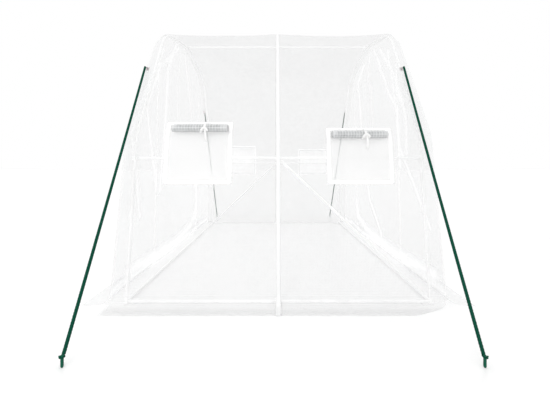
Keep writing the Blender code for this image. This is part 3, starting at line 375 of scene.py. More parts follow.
def grid_piece(name, grid, material, thick=0.0, missing=None, cut=None, flip=False, **masks):
    """A sheet over a grid of points: one surface, or where it has a thickness two with a rim.

    The cut is each point's place in the flat sheet, in metres. The masks, such as how far the
    sheet is gathered or lies doubled, are kept on its points for the material. They also carry
    painted highlights and painted shade into it.
    """
    grid = np.asarray(grid, float)
    rows, columns = grid.shape[:2]
    index = np.arange(rows * columns).reshape(rows, columns)
    quads = np.stack([index[:-1, :-1], index[:-1, 1:], index[1:, 1:], index[1:, :-1]], -1)
    quads = quads.reshape(-1, 4) if missing is None else quads[~missing]
    if flip:
        quads = quads[:, ::-1]
    points = grid.reshape(-1, 3)
    if thick:
        across = np.cross(np.gradient(grid, axis=1), np.gradient(grid, axis=0)).reshape(-1, 3)
        across /= np.maximum(np.linalg.norm(across, axis=1), 1e-12)[:, None]
        across *= thick / 2 * (-1 if flip else 1)
        sides = {(a, b) for q in quads.tolist() for a, b in zip(q, q[1:] + q[:1])}
        rim = [(b, a, a + len(points), b + len(points)) for a, b in sides if (b, a) not in sides]
        quads = np.concatenate([quads[:, ::-1] + len(points), quads, sorted(rim)])
        points = np.concatenate([points - across, points + across])
    used, quads = np.unique(quads, return_inverse=True)
    made = new_piece(name, points[used], quads.reshape(-1, 4).tolist(), material)
    if cut is None:
        cut = np.stack(np.meshgrid(running(grid[rows // 2]), running(grid[:, columns // 2])), -1)
    at_points = np.concatenate([np.asarray(cut, float).reshape(-1, 2)] * 2)[used]
    corner_points = np.empty(len(made.data.loops), int)
    made.data.loops.foreach_get("vertex_index", corner_points)
    layer = made.data.uv_layers.new(name="cut")
    layer.data.foreach_set("uv", at_points[corner_points].ravel())
    for key, mask in masks.items():
        values = np.concatenate([np.asarray(mask, np.float32).ravel()] * 2)[used]
        made.data.attributes.new(key, "FLOAT", "POINT").data.foreach_set("value", values)
    return made


# Thread grid: thin straight threads at an even pitch both ways, as a mask from 0 to 1
threads, given, result = new_group(
    "thread_grid", {"Place": "Vector", "Pitch": "Float", "Width": "Float"}, {"Mask": "Float"}
)
parts = add_node(threads, "ShaderNodeSeparateXYZ", {0: given["Place"]}).outputs
lines = []
for part in (parts["X"], parts["Y"]):
    turn = math_node(threads, "FRACT", math_node(threads, "DIVIDE", part, given["Pitch"]))
    off = math_node(threads, "ABSOLUTE", math_node(threads, "SUBTRACT", turn, 0.5))
    off = math_node(threads, "MULTIPLY", off, given["Pitch"])
    lines.append(ranged(threads, off, 0, given["Width"], 1.0, 0.0))
feed(threads, result["Mask"], math_node(threads, "MAXIMUM", *lines))


def cut_place(tree):
    return add_node(tree, "ShaderNodeUVMap", uv_map="cut").outputs[0]


def woven(tree, pitch, width):
    """The thread grid on a piece's flat cut."""
    return use_group(tree, threads, Place=cut_place(tree), Pitch=pitch, Width=width)


def mask_node(tree, name):
    """A mask that a sheet keeps on its points."""
    return add_node(tree, "ShaderNodeAttribute", attribute_name=name).outputs["Fac"]


def film_material(name, grey, veil, threads_veil, gathered, glow=0.10, relief=0.5):
    """Film with a thread grid in it: how much it veils plain, at a thread and in gathers.

    It spreads light rather than stopping it, so its shadow is fainter than its veil. A gathered
    place is whiter and has a painted glow, which stands in for the light that comes through it from
    behind. Where the sheet lies doubled it is veiled more, which also paints in shade.
    """
    made, tree, shader = new_material(name, Roughness=0.38, Emission_Strength=glow)
    weave, haze = woven(tree, THREAD_PITCH, THREAD_WIDTH), soiled(tree, 2.2, 26.0)
    gather, double = mask_node(tree, "gather"), mask_node(tree, "double")
    coloured(tree, shader, weave, between(tree, gather, grey, FILM_WHITE), FILM_WHITE)
    feed(tree, shader.inputs["Emission Color"], between(tree, gather, (0, 0, 0, 1), FILM_WHITE))
    alpha = veil
    veils = ((weave, threads_veil), (haze, FILM_HAZE), (gather, gathered), (double, FILM_DOUBLE_SHADE))
    for mask, share in veils:
        alpha = math_node(tree, "MULTIPLY_ADD", mask, share, alpha)
    shadow = add_node(tree, "ShaderNodeLightPath").outputs["Is Shadow Ray"]
    passed = math_node(tree, "MULTIPLY_ADD", shadow, SHADOW_SHARE - 1, 1.0)
    alpha = math_node(tree, "MULTIPLY", alpha, passed)
    feed(tree, shader.inputs["Alpha"], math_node(tree, "MINIMUM", alpha, 1.0))
    bumped(tree, shader, weave, 0.0004, relief)
    return made


film = film_material("woven_film", FILM_GREY, FILM_VEIL, FILM_THREADS, FILM_GATHER)


def spaced(marks, step):
    """Marks in order, with even steps of at most some size between each and the next."""
    parts = [
        np.linspace(a, b, max(1, math.ceil((b - a) / step)), endpoint=False)
        for a, b in zip(marks, marks[1:])
    ]
    return np.concatenate([*parts, [marks[-1]]])


def side_rows(off, marks):
    """The film on one side from the skirt's edge up: out, height, normal, and place in the cut."""
    share = np.linspace(1, 0, SKIRT_ROWS + 1)[:-1]
    foot = length_at(SKIRT_RISE)
    foot_out = film_at(foot, FILM_OFF)[0]
    out = foot_out + share * SIDE_SKIRT
    high = CLEAR + off - FILM_OFF + SKIRT_RISE * np.exp(-share / SKIRT_BEND)
    steep = np.exp(-share / SKIRT_BEND)
    lengths = spaced([foot, *marks, RIDGE_LENGTH], GRID_STEP)
    wall_out, wall_high = film_at(lengths, off)
    wall_out[-1] = 0.0
    way_out, way_high = normal_at(lengths)
    cut = np.concatenate([foot - share * SIDE_SKIRT * SKIRT_SLACK, lengths])
    pairs = [(out, wall_out), (high, wall_high), (steep, way_out), (1 - steep, way_high)]
    rows = [np.concatenate(pair) for pair in pairs]
    return *rows, cut, np.concatenate([share, np.zeros(len(lengths))])


def over_ridge(near, far):
    """The rows of both sides in one grid, with one row on the ridge."""
    return np.concatenate([near, far[-2::-1]])


def sag_at(cut, x):
    """How far the film hangs in between two hoops, and off the end hoop, at places on it."""
    head = length_at(max(WINDOW_HEADS.values()))
    roof = length_at(SHOULDER)
    marks = [head, (head + roof) / 2, roof, (roof + RIDGE_LENGTH) / 2, RIDGE_LENGTH]
    depth = np.interp(cut, marks, [0, SHOULDER_SAG * 0.6, SHOULDER_SAG, ROOF_SAG, 0])
    away = (x - BAY / 2) / (BAY / 2 - ON_HOOP)
    return depth * np.clip(1 - away * away, 0, 1)


def cover_half(end_name, end):
    """Half of the cover, from the near skirt over the ridge to the far skirt."""
    window_middle, window_half = WINDOW_MIDDLES[end], WINDOW_HALVES[end]
    opening = window_half - BORDER
    sill, head = length_at([WINDOW_SILL + BORDER, WINDOW_HEADS[end] - BORDER])
    out, high, way_out, way_high, cut, lying = side_rows(MIDDLE_OFF, [sill, head])
    inner = [CLEAR / 2, ON_HOOP, window_middle - opening, window_middle + opening]
    columns = spaced([*inner, BAY - ON_HOOP, BAY + ON_HOOP], GRID_STEP)
    beyond = np.linspace(0, 1, EDGE_COLUMNS + 1)[1:]
    halves = []
    for side in SIDES.values():
        edge = edge_x(np.maximum(high, SKIRT_RISE))[:, None]
        start = BAY + ON_HOOP
        x = np.concatenate(
            [np.tile(columns, (len(cut), 1)), start + (edge - start) * beyond], axis=1
        )
        if end > 0 and side < 0:
            share = np.clip((x - CORNER_FROM) / (edge - CORNER_FROM), 0, 1)
            x = x - share * (CORNER_CUT * lying[:, None] ** CORNER_ROUND)
        along = np.tile(cut[:, None], (1, x.shape[1]))
        window_gap = np.hypot(
            np.maximum(np.abs(x - window_middle) - window_half, 0),
            np.maximum(np.abs(along - (sill + head) / 2) - (head - sill) / 2 - BORDER, 0),
        )
        free = smooth(window_gap, *FLAT_BY_BORDER) * smooth(x, *FLAT_BY_STRIP)
        free = free * smooth(RIDGE_LENGTH - along, *FLAT_BY_RIDGE)
        places = stacked(x * end, side * along)
        crease, fine = noise_at(places, *CREASES), np.abs(noise_at(places, *RIPPLES))
        near_end = smooth(x, *RIPPLED)
        ridges = np.clip(np.abs(crease) * 1.2 + 0.5 * fine * near_end, 0, 1)
        lift = WRINKLE * free * ridges * (1 + near_end)
        lift = lift * (1 - lying[:, None]) + SKIRT_WRINKLE * lying[:, None] * fine
        droop = DROOP * smooth(high, DROOP_START, DROOP_FULL)[:, None]
        droop = droop * smooth(x, BAY + ON_HOOP, edge)
        off = lift - sag_at(along, x) - droop
        y = side * (out[:, None] + way_out[:, None] * off)
        z = high[:, None] + way_high[:, None] * off
        grid = stacked(end * x, y, np.maximum(z, CLEAR))
        hem = smooth(x, edge - HEM - HEM_FADE, edge - HEM) + smooth(lying, *SKIRT_HEM)[:, None]
        # The hem is whiter where it lies doubled. The ridges of the wrinkles near the ends are
        # painted whiter as highlights, and the film's painted glow follows this mask.
        gather = np.clip(HEM_WHITE * hem + WRINKLE_HIGHLIGHT * ridges * near_end, 0, 1)
        flat = stacked(end * x, side * (RIDGE_LENGTH - along))
        # The skirt is veiled more towards its outer edge. This is partly doubled film and partly
        # painted shade on the ground.
        double = np.broadcast_to(smooth(lying, *SKIRT_DOUBLE_SHADE)[:, None], x.shape)
        halves.append((grid, flat, gather, double))
    grid, flat, gather, double = (over_ridge(*parts) for parts in zip(*halves))
    missing = np.zeros((2 * len(cut) - 2, len(columns) + len(beyond) - 1), bool)
    middle = (columns[1:] + columns[:-1]) / 2
    for r, length in enumerate((cut[1:] + cut[:-1]) / 2):
        if sill < length < head:
            open_here = np.abs(middle - window_middle) < opening
            missing[r, : len(middle)] = missing[-1 - r, : len(middle)] = open_here
    made = grid_piece(
        f"film_cover_{end_name}",
        grid,
        film,
        missing=missing,
        cut=flat,
        gather=gather,
        double=double,
        flip=end > 0,
    )
    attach(made, "greenhouse")
    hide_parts(f"cover_{end_name}")
    length = 2 * (RIDGE_LENGTH - float(cut[0]))


for end_name, end in ENDS.items():
    cover_half(end_name, end)


# The joining strip: a pale band of the same film, welded over the joint of the two cover halves. It
# is wider on the skirts, and a row of small weld marks runs along each of its edges.

STRIP_HALF, STRIP_SKIRT_HALF = 0.012, 0.017
STRIP_THICK = 0.0008
STRIP_WHITE = (0.96, 0.96, 0.96, 1)
STRIP_SHADE = (0.84, 0.845, 0.85, 1)
# STRIP_GLOW is a faint painted glow of the strip's own, which lifts its white.
STRIP_GLOW = 0.05
STRIP_VEIL, STRIP_SOILED_VEIL = 0.80, 0.92
STRIP_WIDENS, STRIP_CURL, STRIP_WAVES = (0.05, 0.3), 0.0004, 31.0
STITCH_PITCH = 0.0042
WELD_IN, WELD_WIDTH = 0.0028, 0.0006

# Edge rows: a row of short marks along both edges of a band, as a mask from 0 to 1. Place has the
# way along the band in X and the way across it, from its middle, in Y.
marks, given, result = new_group(
    "edge_rows",
    {"Place": "Vector", "Half": "Float", "Pitch": "Float", "Width": "Float"},
    {"Mask": "Float"},
)
parts = add_node(marks, "ShaderNodeSeparateXYZ", {0: given["Place"]}).outputs
off = math_node(marks, "SUBTRACT", math_node(marks, "ABSOLUTE", parts["Y"]), given["Half"])
off = math_node(marks, "ABSOLUTE", off)
row = ranged(marks, off, given["Width"], math_node(marks, "MULTIPLY", given["Width"], 2.0), 1, 0)
turn = math_node(marks, "FRACT", math_node(marks, "DIVIDE", parts["X"], given["Pitch"]))
turn = math_node(marks, "ABSOLUTE", math_node(marks, "SUBTRACT", turn, 0.5))
dash = ranged(marks, turn, 0.3, 0.36, 1, 0)
feed(marks, result["Mask"], math_node(marks, "MULTIPLY", row, dash))


def marked(tree, half, pitch, width):
    """The rows of marks on a band of some half width."""
    return use_group(tree, marks, Place=cut_place(tree), Half=half, Pitch=pitch, Width=width)


strip, tree, shader = new_material(
    "welded_strip", Roughness=0.42, Emission_Color=STRIP_WHITE, Emission_Strength=STRIP_GLOW
)
weld = marked(tree, STRIP_HALF - WELD_IN, STITCH_PITCH, WELD_WIDTH)
haze = soiled(tree, 7.0, 90.0)
shade = math_node(tree, "MAXIMUM", weld, math_node(tree, "MULTIPLY", haze, 0.5))
coloured(tree, shader, shade, STRIP_WHITE, STRIP_SHADE)
veil = ranged(tree, haze, 0, 1, STRIP_VEIL, STRIP_SOILED_VEIL)
feed(tree, shader.inputs["Alpha"], veil)
bumped(tree, shader, math_node(tree, "SUBTRACT", 1.0, weld), 0.0003, 0.6)


def joining_strip():
    out, high, way_out, way_high, cut, lying = side_rows(OUTER_OFF + CLEAR + STRIP_THICK / 2, [])
    half = STRIP_HALF + (STRIP_SKIRT_HALF - STRIP_HALF) * smooth(lying, *STRIP_WIDENS)
    share = np.linspace(-1, 1, 5)
    halves = []
    for side in SIDES.values():
        x = half[:, None] * share
        lift = STRIP_CURL * np.abs(np.sin(cut * STRIP_WAVES))[:, None] * (share**2)
        y = side * (out[:, None] + way_out[:, None] * lift)
        z = high[:, None] + way_high[:, None] * lift
        halves.append((stacked(x, y, z), stacked(side * (RIDGE_LENGTH - cut)[:, None], x)))
    grid, flat = (over_ridge(*parts) for parts in zip(*halves))
    made = grid_piece("joining_strip", grid, strip, STRIP_THICK, cut=flat)
    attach(made, "greenhouse")
    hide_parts("centre_seam")


joining_strip()

# The windows: a fine white insect net behind each opening, held round its edge by a white
# hook-and-loop border that is sewn to the film with two rows of stitches.

BORDER_THICK = 0.0010
BORDER_OFF = OUTER_OFF + 2 * CLEAR + BORDER_THICK / 2
BORDER_WHITE = (0.93, 0.93, 0.93, 1)
BORDER_SHADE = (0.80, 0.80, 0.80, 1)
# The border has a painted glow, stronger on the faces that look into the tunnel.
BORDER_GLOW, BORDER_GLOW_INSIDE = 0.16, 0.42
NET_OFF = OUTER_OFF + CLEAR
NET_SLACK, NET_WAVES = 0.003, (11.0, 6.0)
BORDER_CURL, BORDER_WAVES = 0.0006, (45.0, 45.0)
BORDER_STEP = 0.012
STITCH_IN, STITCH_WIDTH = 0.003, 0.0005
NET_POINTS = 24
NET_PITCH, NET_THREAD = 0.0022, 0.00042
NET_WHITE = (0.90, 0.90, 0.90, 1)
# The net has a painted glow too, stronger on the faces that look into the tunnel.
NET_GLOW, NET_GLOW_INSIDE = 0.06, 0.24
NET_VEIL, NET_VEIL_INSIDE = 0.58, 0.93


def cloth_glow(tree, shader, outside, inside):
    """A painted glow on a cloth, stronger on faces that look in, which stands in for the daylight
    that comes through it.

    It gives back the mask of those faces.
    """
    axes = []
    for vector in (object_place(tree), add_node(tree, "ShaderNodeNewGeometry").outputs["Normal"]):
        axes.append(add_node(tree, "ShaderNodeSeparateXYZ", {0: vector}).outputs["Y"])
    outward = math_node(tree, "MULTIPLY", math_node(tree, "SIGN", axes[0]), axes[1])
    facing_in = ranged(tree, outward, -0.1, 0.1, 1.0, 0.0)
    glow = ranged(tree, facing_in, 0, 1, outside, inside)
    feed(tree, shader.inputs["Emission Strength"], glow)
    return facing_in


border_cloth, tree, shader = new_material(
    "hook_border", Roughness=0.85, Sheen_Weight=0.25, Emission_Color=BORDER_WHITE
)
cloth_glow(tree, shader, BORDER_GLOW, BORDER_GLOW_INSIDE)
stitches = marked(tree, BORDER / 2 - STITCH_IN, STITCH_PITCH, STITCH_WIDTH)
pile = noise_node(tree, object_place(tree), 1500.0, 2.0)
shade = math_node(tree, "MAXIMUM", stitches, ranged(tree, pile, 0.5, 0.8, 0.0, 0.4))
coloured(tree, shader, shade, BORDER_WHITE, BORDER_SHADE)
bumped(tree, shader, math_node(tree, "SUBTRACT", pile, stitches), 0.0006, 0.5)

net_cloth, tree, shader = new_material("insect_net", Roughness=0.7, Emission_Color=NET_WHITE)
inside = cloth_glow(tree, shader, NET_GLOW, NET_GLOW_INSIDE)
weave = woven(tree, NET_PITCH, NET_THREAD)
coloured(tree, shader, weave, BORDER_SHADE, NET_WHITE)
veil = ranged(tree, inside, 0, 1, NET_VEIL, NET_VEIL_INSIDE)
feed(tree, shader.inputs["Alpha"], math_node(tree, "MAXIMUM", weave, veil))
bumped(tree, shader, weave, 0.0004, 0.6)


def on_wall(end, side, x, length, off):
    """Points of the wall's face: x from the tunnel's middle, and the length along the hoop."""
    out, high = film_at(length, off)
    return stacked(end * x, side * out, high)


def at_head(end, side, down):
    """The point in front of the border, some way down from a window's head."""
    length = length_at(WINDOW_HEADS[end]) - down
    return on_wall(end, side, 0.0, length, BORDER_OFF + 2 * BORDER_THICK)


def window(corner, end, side):
    """The border's four bands, which lap at the corners, and the net."""
    low, top = length_at(WINDOW_SILL), length_at(WINDOW_HEADS[end])
    left = WINDOW_MIDDLES[end] - WINDOW_HALVES[end]
    right = WINDOW_MIDDLES[end] + WINDOW_HALVES[end]
    across = np.linspace(-BORDER / 2, BORDER / 2, 5)
    bands = []
    for middle in (left + BORDER / 2, right - BORDER / 2):
        along = spaced([low, top], BORDER_STEP)
        place = on_wall(end, side, middle + across, along[:, None], BORDER_OFF)
        bands.append((place, along[:, None], across[None, :]))
    for middle in (low + BORDER / 2, top - BORDER / 2):
        along = spaced([left, right], BORDER_STEP)
        place = on_wall(end, side, along[:, None], middle + across, BORDER_OFF + BORDER_THICK)
        bands.append((place, along[:, None], across[None, :]))
    parts = []
    for k, (place, along, width) in enumerate(bands):
        waves = noise_at(place[..., :2] + place[..., 2:], BORDER_WAVES, 5.0 + k)
        place = place + np.array([0, side, 0]) * (BORDER_CURL * np.abs(waves))[..., None]
        name, flat = f"{corner}_window_border_{k}", stacked(along, width)
        parts.append(grid_piece(name, place, border_cloth, BORDER_THICK, cut=flat))
    border = joined(parts, f"{corner}_window_border")
    x = np.linspace(left + BORDER / 2, right - BORDER / 2, NET_POINTS)
    along = np.linspace(low + BORDER / 2, top - BORDER / 2, NET_POINTS)[:, None]
    hang = np.sin(np.linspace(0, math.pi, NET_POINTS))
    hang = hang * hang[:, None]
    place = on_wall(end, side, x, along, NET_OFF)
    flat = stacked(x, along)
    waves = noise_at(flat, NET_WAVES, 2.0 + side)
    inward = np.array([0, -side, 0]) * (hang * NET_SLACK * (1 + 0.6 * waves))[..., None]
    net = grid_piece(f"{corner}_net", place + inward, net_cloth, cut=flat)
    for piece in (border, net):
        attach(piece, "greenhouse")
    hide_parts(f"{corner}_window")


def joined(parts, name):
    """Pieces made into one, in the first one's name and material."""
    first = parts[0]
    with bpy.context.temp_override(
        active_object=first, selected_editable_objects=parts, object=first
    ):
        bpy.ops.object.join()
    first.name = first.data.name = name
    return first


for corner, end, side in CORNERS:
    window(corner, end, side)


# The rolled flaps: each window's film flap is welded to its head, comes out over the border and is
# rolled up on itself in front of it, so its thread grid shows as a fine pale grid on grey.

ROLLS_FROM_MIDDLE = {-1: 0.478, 1: 0.497}
ROLL_LENGTH, ROLL_COLUMNS = 0.337, 41
ROLL_DROP = 0.042
ROLL_OUTER, ROLL_CORE = 0.0232, 0.0095
ROLL_TURNS, ROLL_SLIP, SLIP_ENDS = 4.5, 0.0022, 0.02
ROLL_BUMPS, ROLL_PATCHES, ROLL_UNEVEN = (14, 1, 3), (26, 0.5, 2), 0.0007
BILLOW, BILLOW_UNEVEN, HEAD_ROWS = 0.0035, 0.0012, 13
ROLL_THICK = 0.0008
ROLL_END = math.radians(108)
ROLL_OFF = 0.0415
TIE_FROM_MIDDLE = 0.032
TIE_PINCH, TIE_PINCH_HALF = 0.0012, 0.012
TURN_POINTS = 22
ROLL_GREY = (0.50, 0.51, 0.515, 1)
ROLL_PALE = (0.74, 0.745, 0.75, 1)
ROLL_THREAD = (0.80, 0.81, 0.81, 1)
ROLLS_PALE = {-1: 0.03, 1: 0.05}
PATCHES_PALE, ENDS_PALE, ENDS_FROM = 0.45, 0.5, 0.38
ROLL_PITCH, ROLL_THREAD_WIDTH = 2 * THREAD_PITCH, 0.0024
FLAP_VEIL, FLAP_GATHER = 0.22, 0.3
ROLL_DARK = (0.33, 0.34, 0.345, 1)
LEG_LEAN = (HOOP_CORNERS[0][0] - HOOP_CORNERS[1][0]) / (HOOP_CORNERS[1][1] - HOOP_CORNERS[0][1])

rolled, tree, shader = new_material("rolled_film", Roughness=0.42)
weave = woven(tree, ROLL_PITCH, ROLL_THREAD_WIDTH)
haze = soiled(tree, 30.0, 160.0)
pale = mask_node(tree, "gather")
ground = between(tree, pale, between(tree, haze, ROLL_GREY, ROLL_DARK), ROLL_PALE)
coloured(tree, shader, weave, ground, ROLL_THREAD)
bumped(tree, shader, weave, 0.0005, 0.6)

flap_film = film_material("flap_film", FILM_GREY, FLAP_VEIL, FILM_THREADS, FLAP_GATHER)


def roll_centre(end, side):
    high = WINDOW_HEADS[end] - ROLL_DROP
    lean = math.hypot(1, LEG_LEAN)
    out = HOOP_CORNERS[0][0] - (high - HOOP_CORNERS[0][1]) * LEG_LEAN + ROLL_OFF * lean
    return Vector((end * ROLLS_FROM_MIDDLE[end], side * out, high))


def rolled_flap(corner, end, side):
    """The roll, and the free stretch of flap between it and the window's head."""
    body = f"{corner}_flap"
    centre = roll_centre(end, side)
    steps = round(ROLL_TURNS * TURN_POINTS)
    share = np.linspace(0, 1, steps + 1)[:, None]
    x = np.linspace(-ROLL_LENGTH / 2, ROLL_LENGTH / 2, ROLL_COLUMNS)[None, :]
    angle = math.tau * ROLL_TURNS * (share - 1) + ROLL_END
    radius = ROLL_CORE + (ROLL_OUTER - ROLL_CORE) * share
    pinch = TIE_PINCH * np.exp(-(((x - TIE_FROM_MIDDLE) / TIE_PINCH_HALF) ** 2))
    uneven = noise_at(stacked(x, np.cos(angle), share), ROLL_BUMPS, 0)
    radius = radius - pinch * share - ROLL_UNEVEN * np.abs(uneven)
    slip = ROLL_SLIP * np.sin(share * ROLL_TURNS * 4.0 + end + side) * np.sign(x)
    place = stacked(
        centre.x + x + slip * (np.abs(x) > ROLL_LENGTH / 2 - SLIP_ENDS),
        centre.y + side * radius * np.cos(angle),
        centre.z + radius * np.sin(angle),
    )
    turned = np.concatenate([[0], np.cumsum(np.abs(np.diff(angle[:, 0])) * radius[1:, 0])])
    flat = stacked(x + ROLL_LENGTH, turned[:, None])
    patches = noise_at(stacked(x, np.sin(angle), share), ROLL_PATCHES, 0)
    pale = ROLLS_PALE[end] + PATCHES_PALE * patches
    near_end = smooth(np.abs(x) / ROLL_LENGTH, ENDS_FROM, 0.5)
    pale = np.clip(pale + ENDS_PALE * near_end, 0, 1)
    name = f"{corner}_rolled_flap"
    roll = grid_piece(name, place, rolled, ROLL_THICK, cut=flat, gather=pale)
    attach(roll, body)
    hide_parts(f"{corner}_roll")
    last, middle = place[-1], ROLL_COLUMNS // 2
    head = at_head(end, side, BORDER / 2)
    rows = []
    for part in np.linspace(0, 1, HEAD_ROWS):
        row = head * (1 - part) + last * part
        row[:, 0] = last[:, 0]
        billow = math.sin(math.pi * part) * (BILLOW + BILLOW_UNEVEN * np.sin(last[:, 0] * 55.0))
        row[:, 1] += side * billow * (1 - part)
        row[:, 2] += billow
        rows.append(row)
    rows = np.array(rows)
    drop = np.linalg.norm(last[middle] - head)
    flat = stacked(x, np.linspace(0, drop, HEAD_ROWS)[:, None])
    free = grid_piece(f"{corner}_flap_head", rows, flap_film, cut=flat)
    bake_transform(free)


for corner, end, side in CORNERS:
    rolled_flap(corner, end, side)

# The ties: a narrow white woven strap round each roll, knotted in front in a flat bow with two
# drooping loops and two cut ends, and the short hanger that it comes from at the window's head.

STRAP_WIDTH, STRAP_THICK = 0.015, 0.0011
STRAP_RING = 0.0238
KNOT_OUT = 0.0281
KNOT_SIZE = (0.0080, 0.0050, 0.0080)
LOOP_REACH, LOOP_FALL, LOOP_OPEN = 0.021, 0.021, 0.0055
TAILS = {-1: (0.030, 0.022), 1: (0.086, 0.010)}
STRAP_WHITE = (0.965, 0.965, 0.96, 1)
STRAP_SHADE = (0.78, 0.78, 0.775, 1)
# Pitch and width of a webbing's ribs; distance from the edge, pitch and width of its stitches
STRAP_RIBS, STRAP_SEAM = (0.0016, 0.0005), (0.0016, 0.003, 0.0004)


def webbed(tree, shader, half, ribs, seam, share):
    """White webbing of some half width: its ribs, and all its marks, as masks from 0 to 1."""
    ribs, sewn = woven(tree, *ribs), marked(tree, half - seam[0], *seam[1:])
    shade = math_node(tree, "MAXIMUM", math_node(tree, "MULTIPLY", ribs, share), sewn)
    coloured(tree, shader, shade, STRAP_WHITE, STRAP_SHADE)
    return ribs, shade


webbing, tree, shader = new_material("strap_webbing", Roughness=0.75, Sheen_Weight=0.15)
ribs = webbed(tree, shader, STRAP_WIDTH / 2, STRAP_RIBS, STRAP_SEAM, 0.35)[0]
bumped(tree, shader, math_node(tree, "SUBTRACT", 1.0, ribs), 0.0004, 0.7)


def strap_piece(name, path, across, width=STRAP_WIDTH, thick=STRAP_THICK, material=webbing):
    """A flat strap along a path, with its width along `across` at each point."""
    path = np.asarray(path, float)
    across = np.broadcast_to(np.asarray(across, float), path.shape)
    share = np.linspace(-1, 1, 5)[None, :, None]
    grid = path[:, None, :] + across[:, None, :] * share * width / 2
    flat = stacked(running(path)[:, None], share[..., 0] * width / 2)
    return grid_piece(name, grid, material, thick, cut=flat)


def knot_piece(name, centre, halves, out):
    """A small tight knot: a rounded lump with the strap's turns pressed into it."""
    turns, rings = 20, 12
    theta = np.linspace(0, math.pi, rings)[:, None]
    phi = np.linspace(0, math.tau, turns + 1)[None, :]
    bulge = 1 + 0.10 * np.cos(3 * phi + 2 * theta) * np.sin(theta)
    x = halves[0] * np.sin(theta) * np.cos(phi) * bulge
    y = halves[1] * np.sin(theta) * np.sin(phi) * bulge
    z = halves[2] * np.cos(theta)
    return grid_piece(name, stacked(x, y * out, z) + centre, webbing)


def tie(corner, end, side):
    body = f"{corner}_flap"
    centre = np.array(roll_centre(end, side)) + (TIE_FROM_MIDDLE, 0, 0)
    out = np.array((0.0, side, 0.0))
    angle = np.linspace(0, math.tau, 37)
    ring = centre + STRAP_RING * stacked(0, side * np.cos(angle), np.sin(angle))
    name = f"{corner}_tie"
    parts = [strap_piece(f"{name}_ring", ring, (1, 0, 0))]
    knot = centre + out * KNOT_OUT
    parts.append(knot_piece(f"{name}_knot", knot, KNOT_SIZE, side))
    turn = np.linspace(0, math.pi, 19)
    for way in (-1, 1):
        reach = LOOP_REACH * np.sin(turn) ** 0.8
        open_at = LOOP_OPEN * np.sin(2 * turn) * (1 + 0.3 * way)
        fall = LOOP_FALL * (reach / LOOP_REACH) ** 1.6
        down = 0.001 - fall - 0.002 * (turn / math.pi)
        path = knot + stacked(way * reach, side * (0.001 + open_at), down)
        lean = unit(stacked(0.75 * way * reach / LOOP_REACH, 0, 1))
        parts.append(strap_piece(f"{name}_loop_{way}", path, lean, STRAP_WIDTH * 0.9))
        length, splay = TAILS[way]
        share = np.linspace(0, 1, 15)
        path = knot + stacked(
            way * (0.002 + splay * share**1.3) + 0.002 * np.sin(share * 5),
            side * (0.0012 * way + 0.002 * np.sin(share * 4) * share),
            -length * share,
        )
        twist = 0.5 * share * way
        across = unit(stacked(np.cos(twist), side * np.sin(twist), 0.25 * way))
        parts.append(strap_piece(f"{name}_tail_{way}", path, across, STRAP_WIDTH * 0.75))
    made = joined(parts, name + "_bow")
    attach(made, body)
    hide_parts(f"{corner}_tie")
    head = at_head(end, side, BORDER * 0.4)
    head[0] = centre[0]
    way = head - centre
    tip = centre + way / np.linalg.norm(way) * (STRAP_RING + STRAP_THICK)
    share = np.linspace(0, 1, 7)[:, None]
    path = head * (1 - share) + tip * share + np.array((0, 0, 0.002)) * np.sin(math.pi * share)
    hanger = strap_piece(f"{corner}_hanger", path, (1, 0, 0))
    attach(hanger, "greenhouse")


for corner, end, side in CORNERS:
    tie(corner, end, side)


# The end walls: one loose sheet of the same film at each end, joined to the cover's edge and
# gathered towards the ridge, so it hangs in long folds that spread like a fan. It is open for the
# door, and its skirt lies out on the ground beside the doorway.

END_SKIRT, END_SKIRT_FLARE = 0.155, 0.020
DOOR_HALF, DOOR_TOP, DOOR_FOOT = 0.50, 1.70, 0.062
RIDGE_TIP = 0.012
WALL_FOLD, STREAK = 0.015, 0.0045
LONG_FOLDS, THIN_HIGHLIGHT_SCALES = (1.0, 1.0), (2.6, 1.2)
END_SKIRT_ROWS, JAMB_COLUMNS, DOOR_COLUMNS = 9, 40, 96
END_LIFT, END_WAVES = 0.005, (9, 9)
END_GREY = (0.84, 0.845, 0.85, 1)
# END_GLOW is a painted glow on the end film. It is strongest where the gather mask is high: along
# the painted highlights and in the gathered places.
END_VEIL, END_GATHER, END_GLOW = 0.13, 0.45, 0.34
HANGING_THREADS, HANGING_RELIEF = 0.04, 0.08
HEM_BAND, HEM_BAND_WHITE, THIN_HIGHLIGHT = 0.10, 0.85, 0.14
# The long folds of each end's wall: points (across, height) from the ridge down
FOLD_LINES = {
    -1: (
        ((-0.16, 1.93), (-0.30, 1.70), (-0.33, 1.20), (-0.40, 0.60)),
        ((-0.05, 1.93), (-0.11, 1.60), (-0.08, 1.20), (-0.12, 0.85)),
        ((0.06, 1.93), (0.15, 1.70), (0.30, 1.30), (0.33, 0.90)),
        ((-0.10, 1.94), (-0.46, 1.62), (-0.65, 1.24), (-0.57, 0.98), (-0.48, 0.60)),
        ((-0.40, 1.78), (-0.70, 1.30), (-0.82, 1.02), (-0.76, 0.75), (-0.71, 0.45)),
        ((0.47, 0.66), (0.52, 0.40), (0.47, 0.21), (0.33, 0.13), (-0.12, 0.08), (-0.82, 0.10)),
    ),
    1: (
        ((0.20, 1.90), (0.39, 1.78), (0.30, 1.10), (0.13, 0.45), (-0.13, 0.16)),
        ((0.02, 1.95), (0.10, 1.80), (0.03, 1.50), (0.02, 1.10)),
        ((-0.06, 1.94), (-0.17, 1.78), (-0.33, 1.44), (-0.50, 1.25), (-0.52, 0.80)),
        ((-0.20, 1.88), (-0.48, 1.50), (-0.60, 1.18), (-0.60, 0.90)),
        ((-0.35, 1.80), (-0.53, 0.92), (-0.75, 0.57), (-0.86, 0.40)),
        ((0.52, 0.40), (0.47, 0.21), (0.26, 0.12), (-0.30, 0.09), (-0.88, 0.11)),
    ),
}
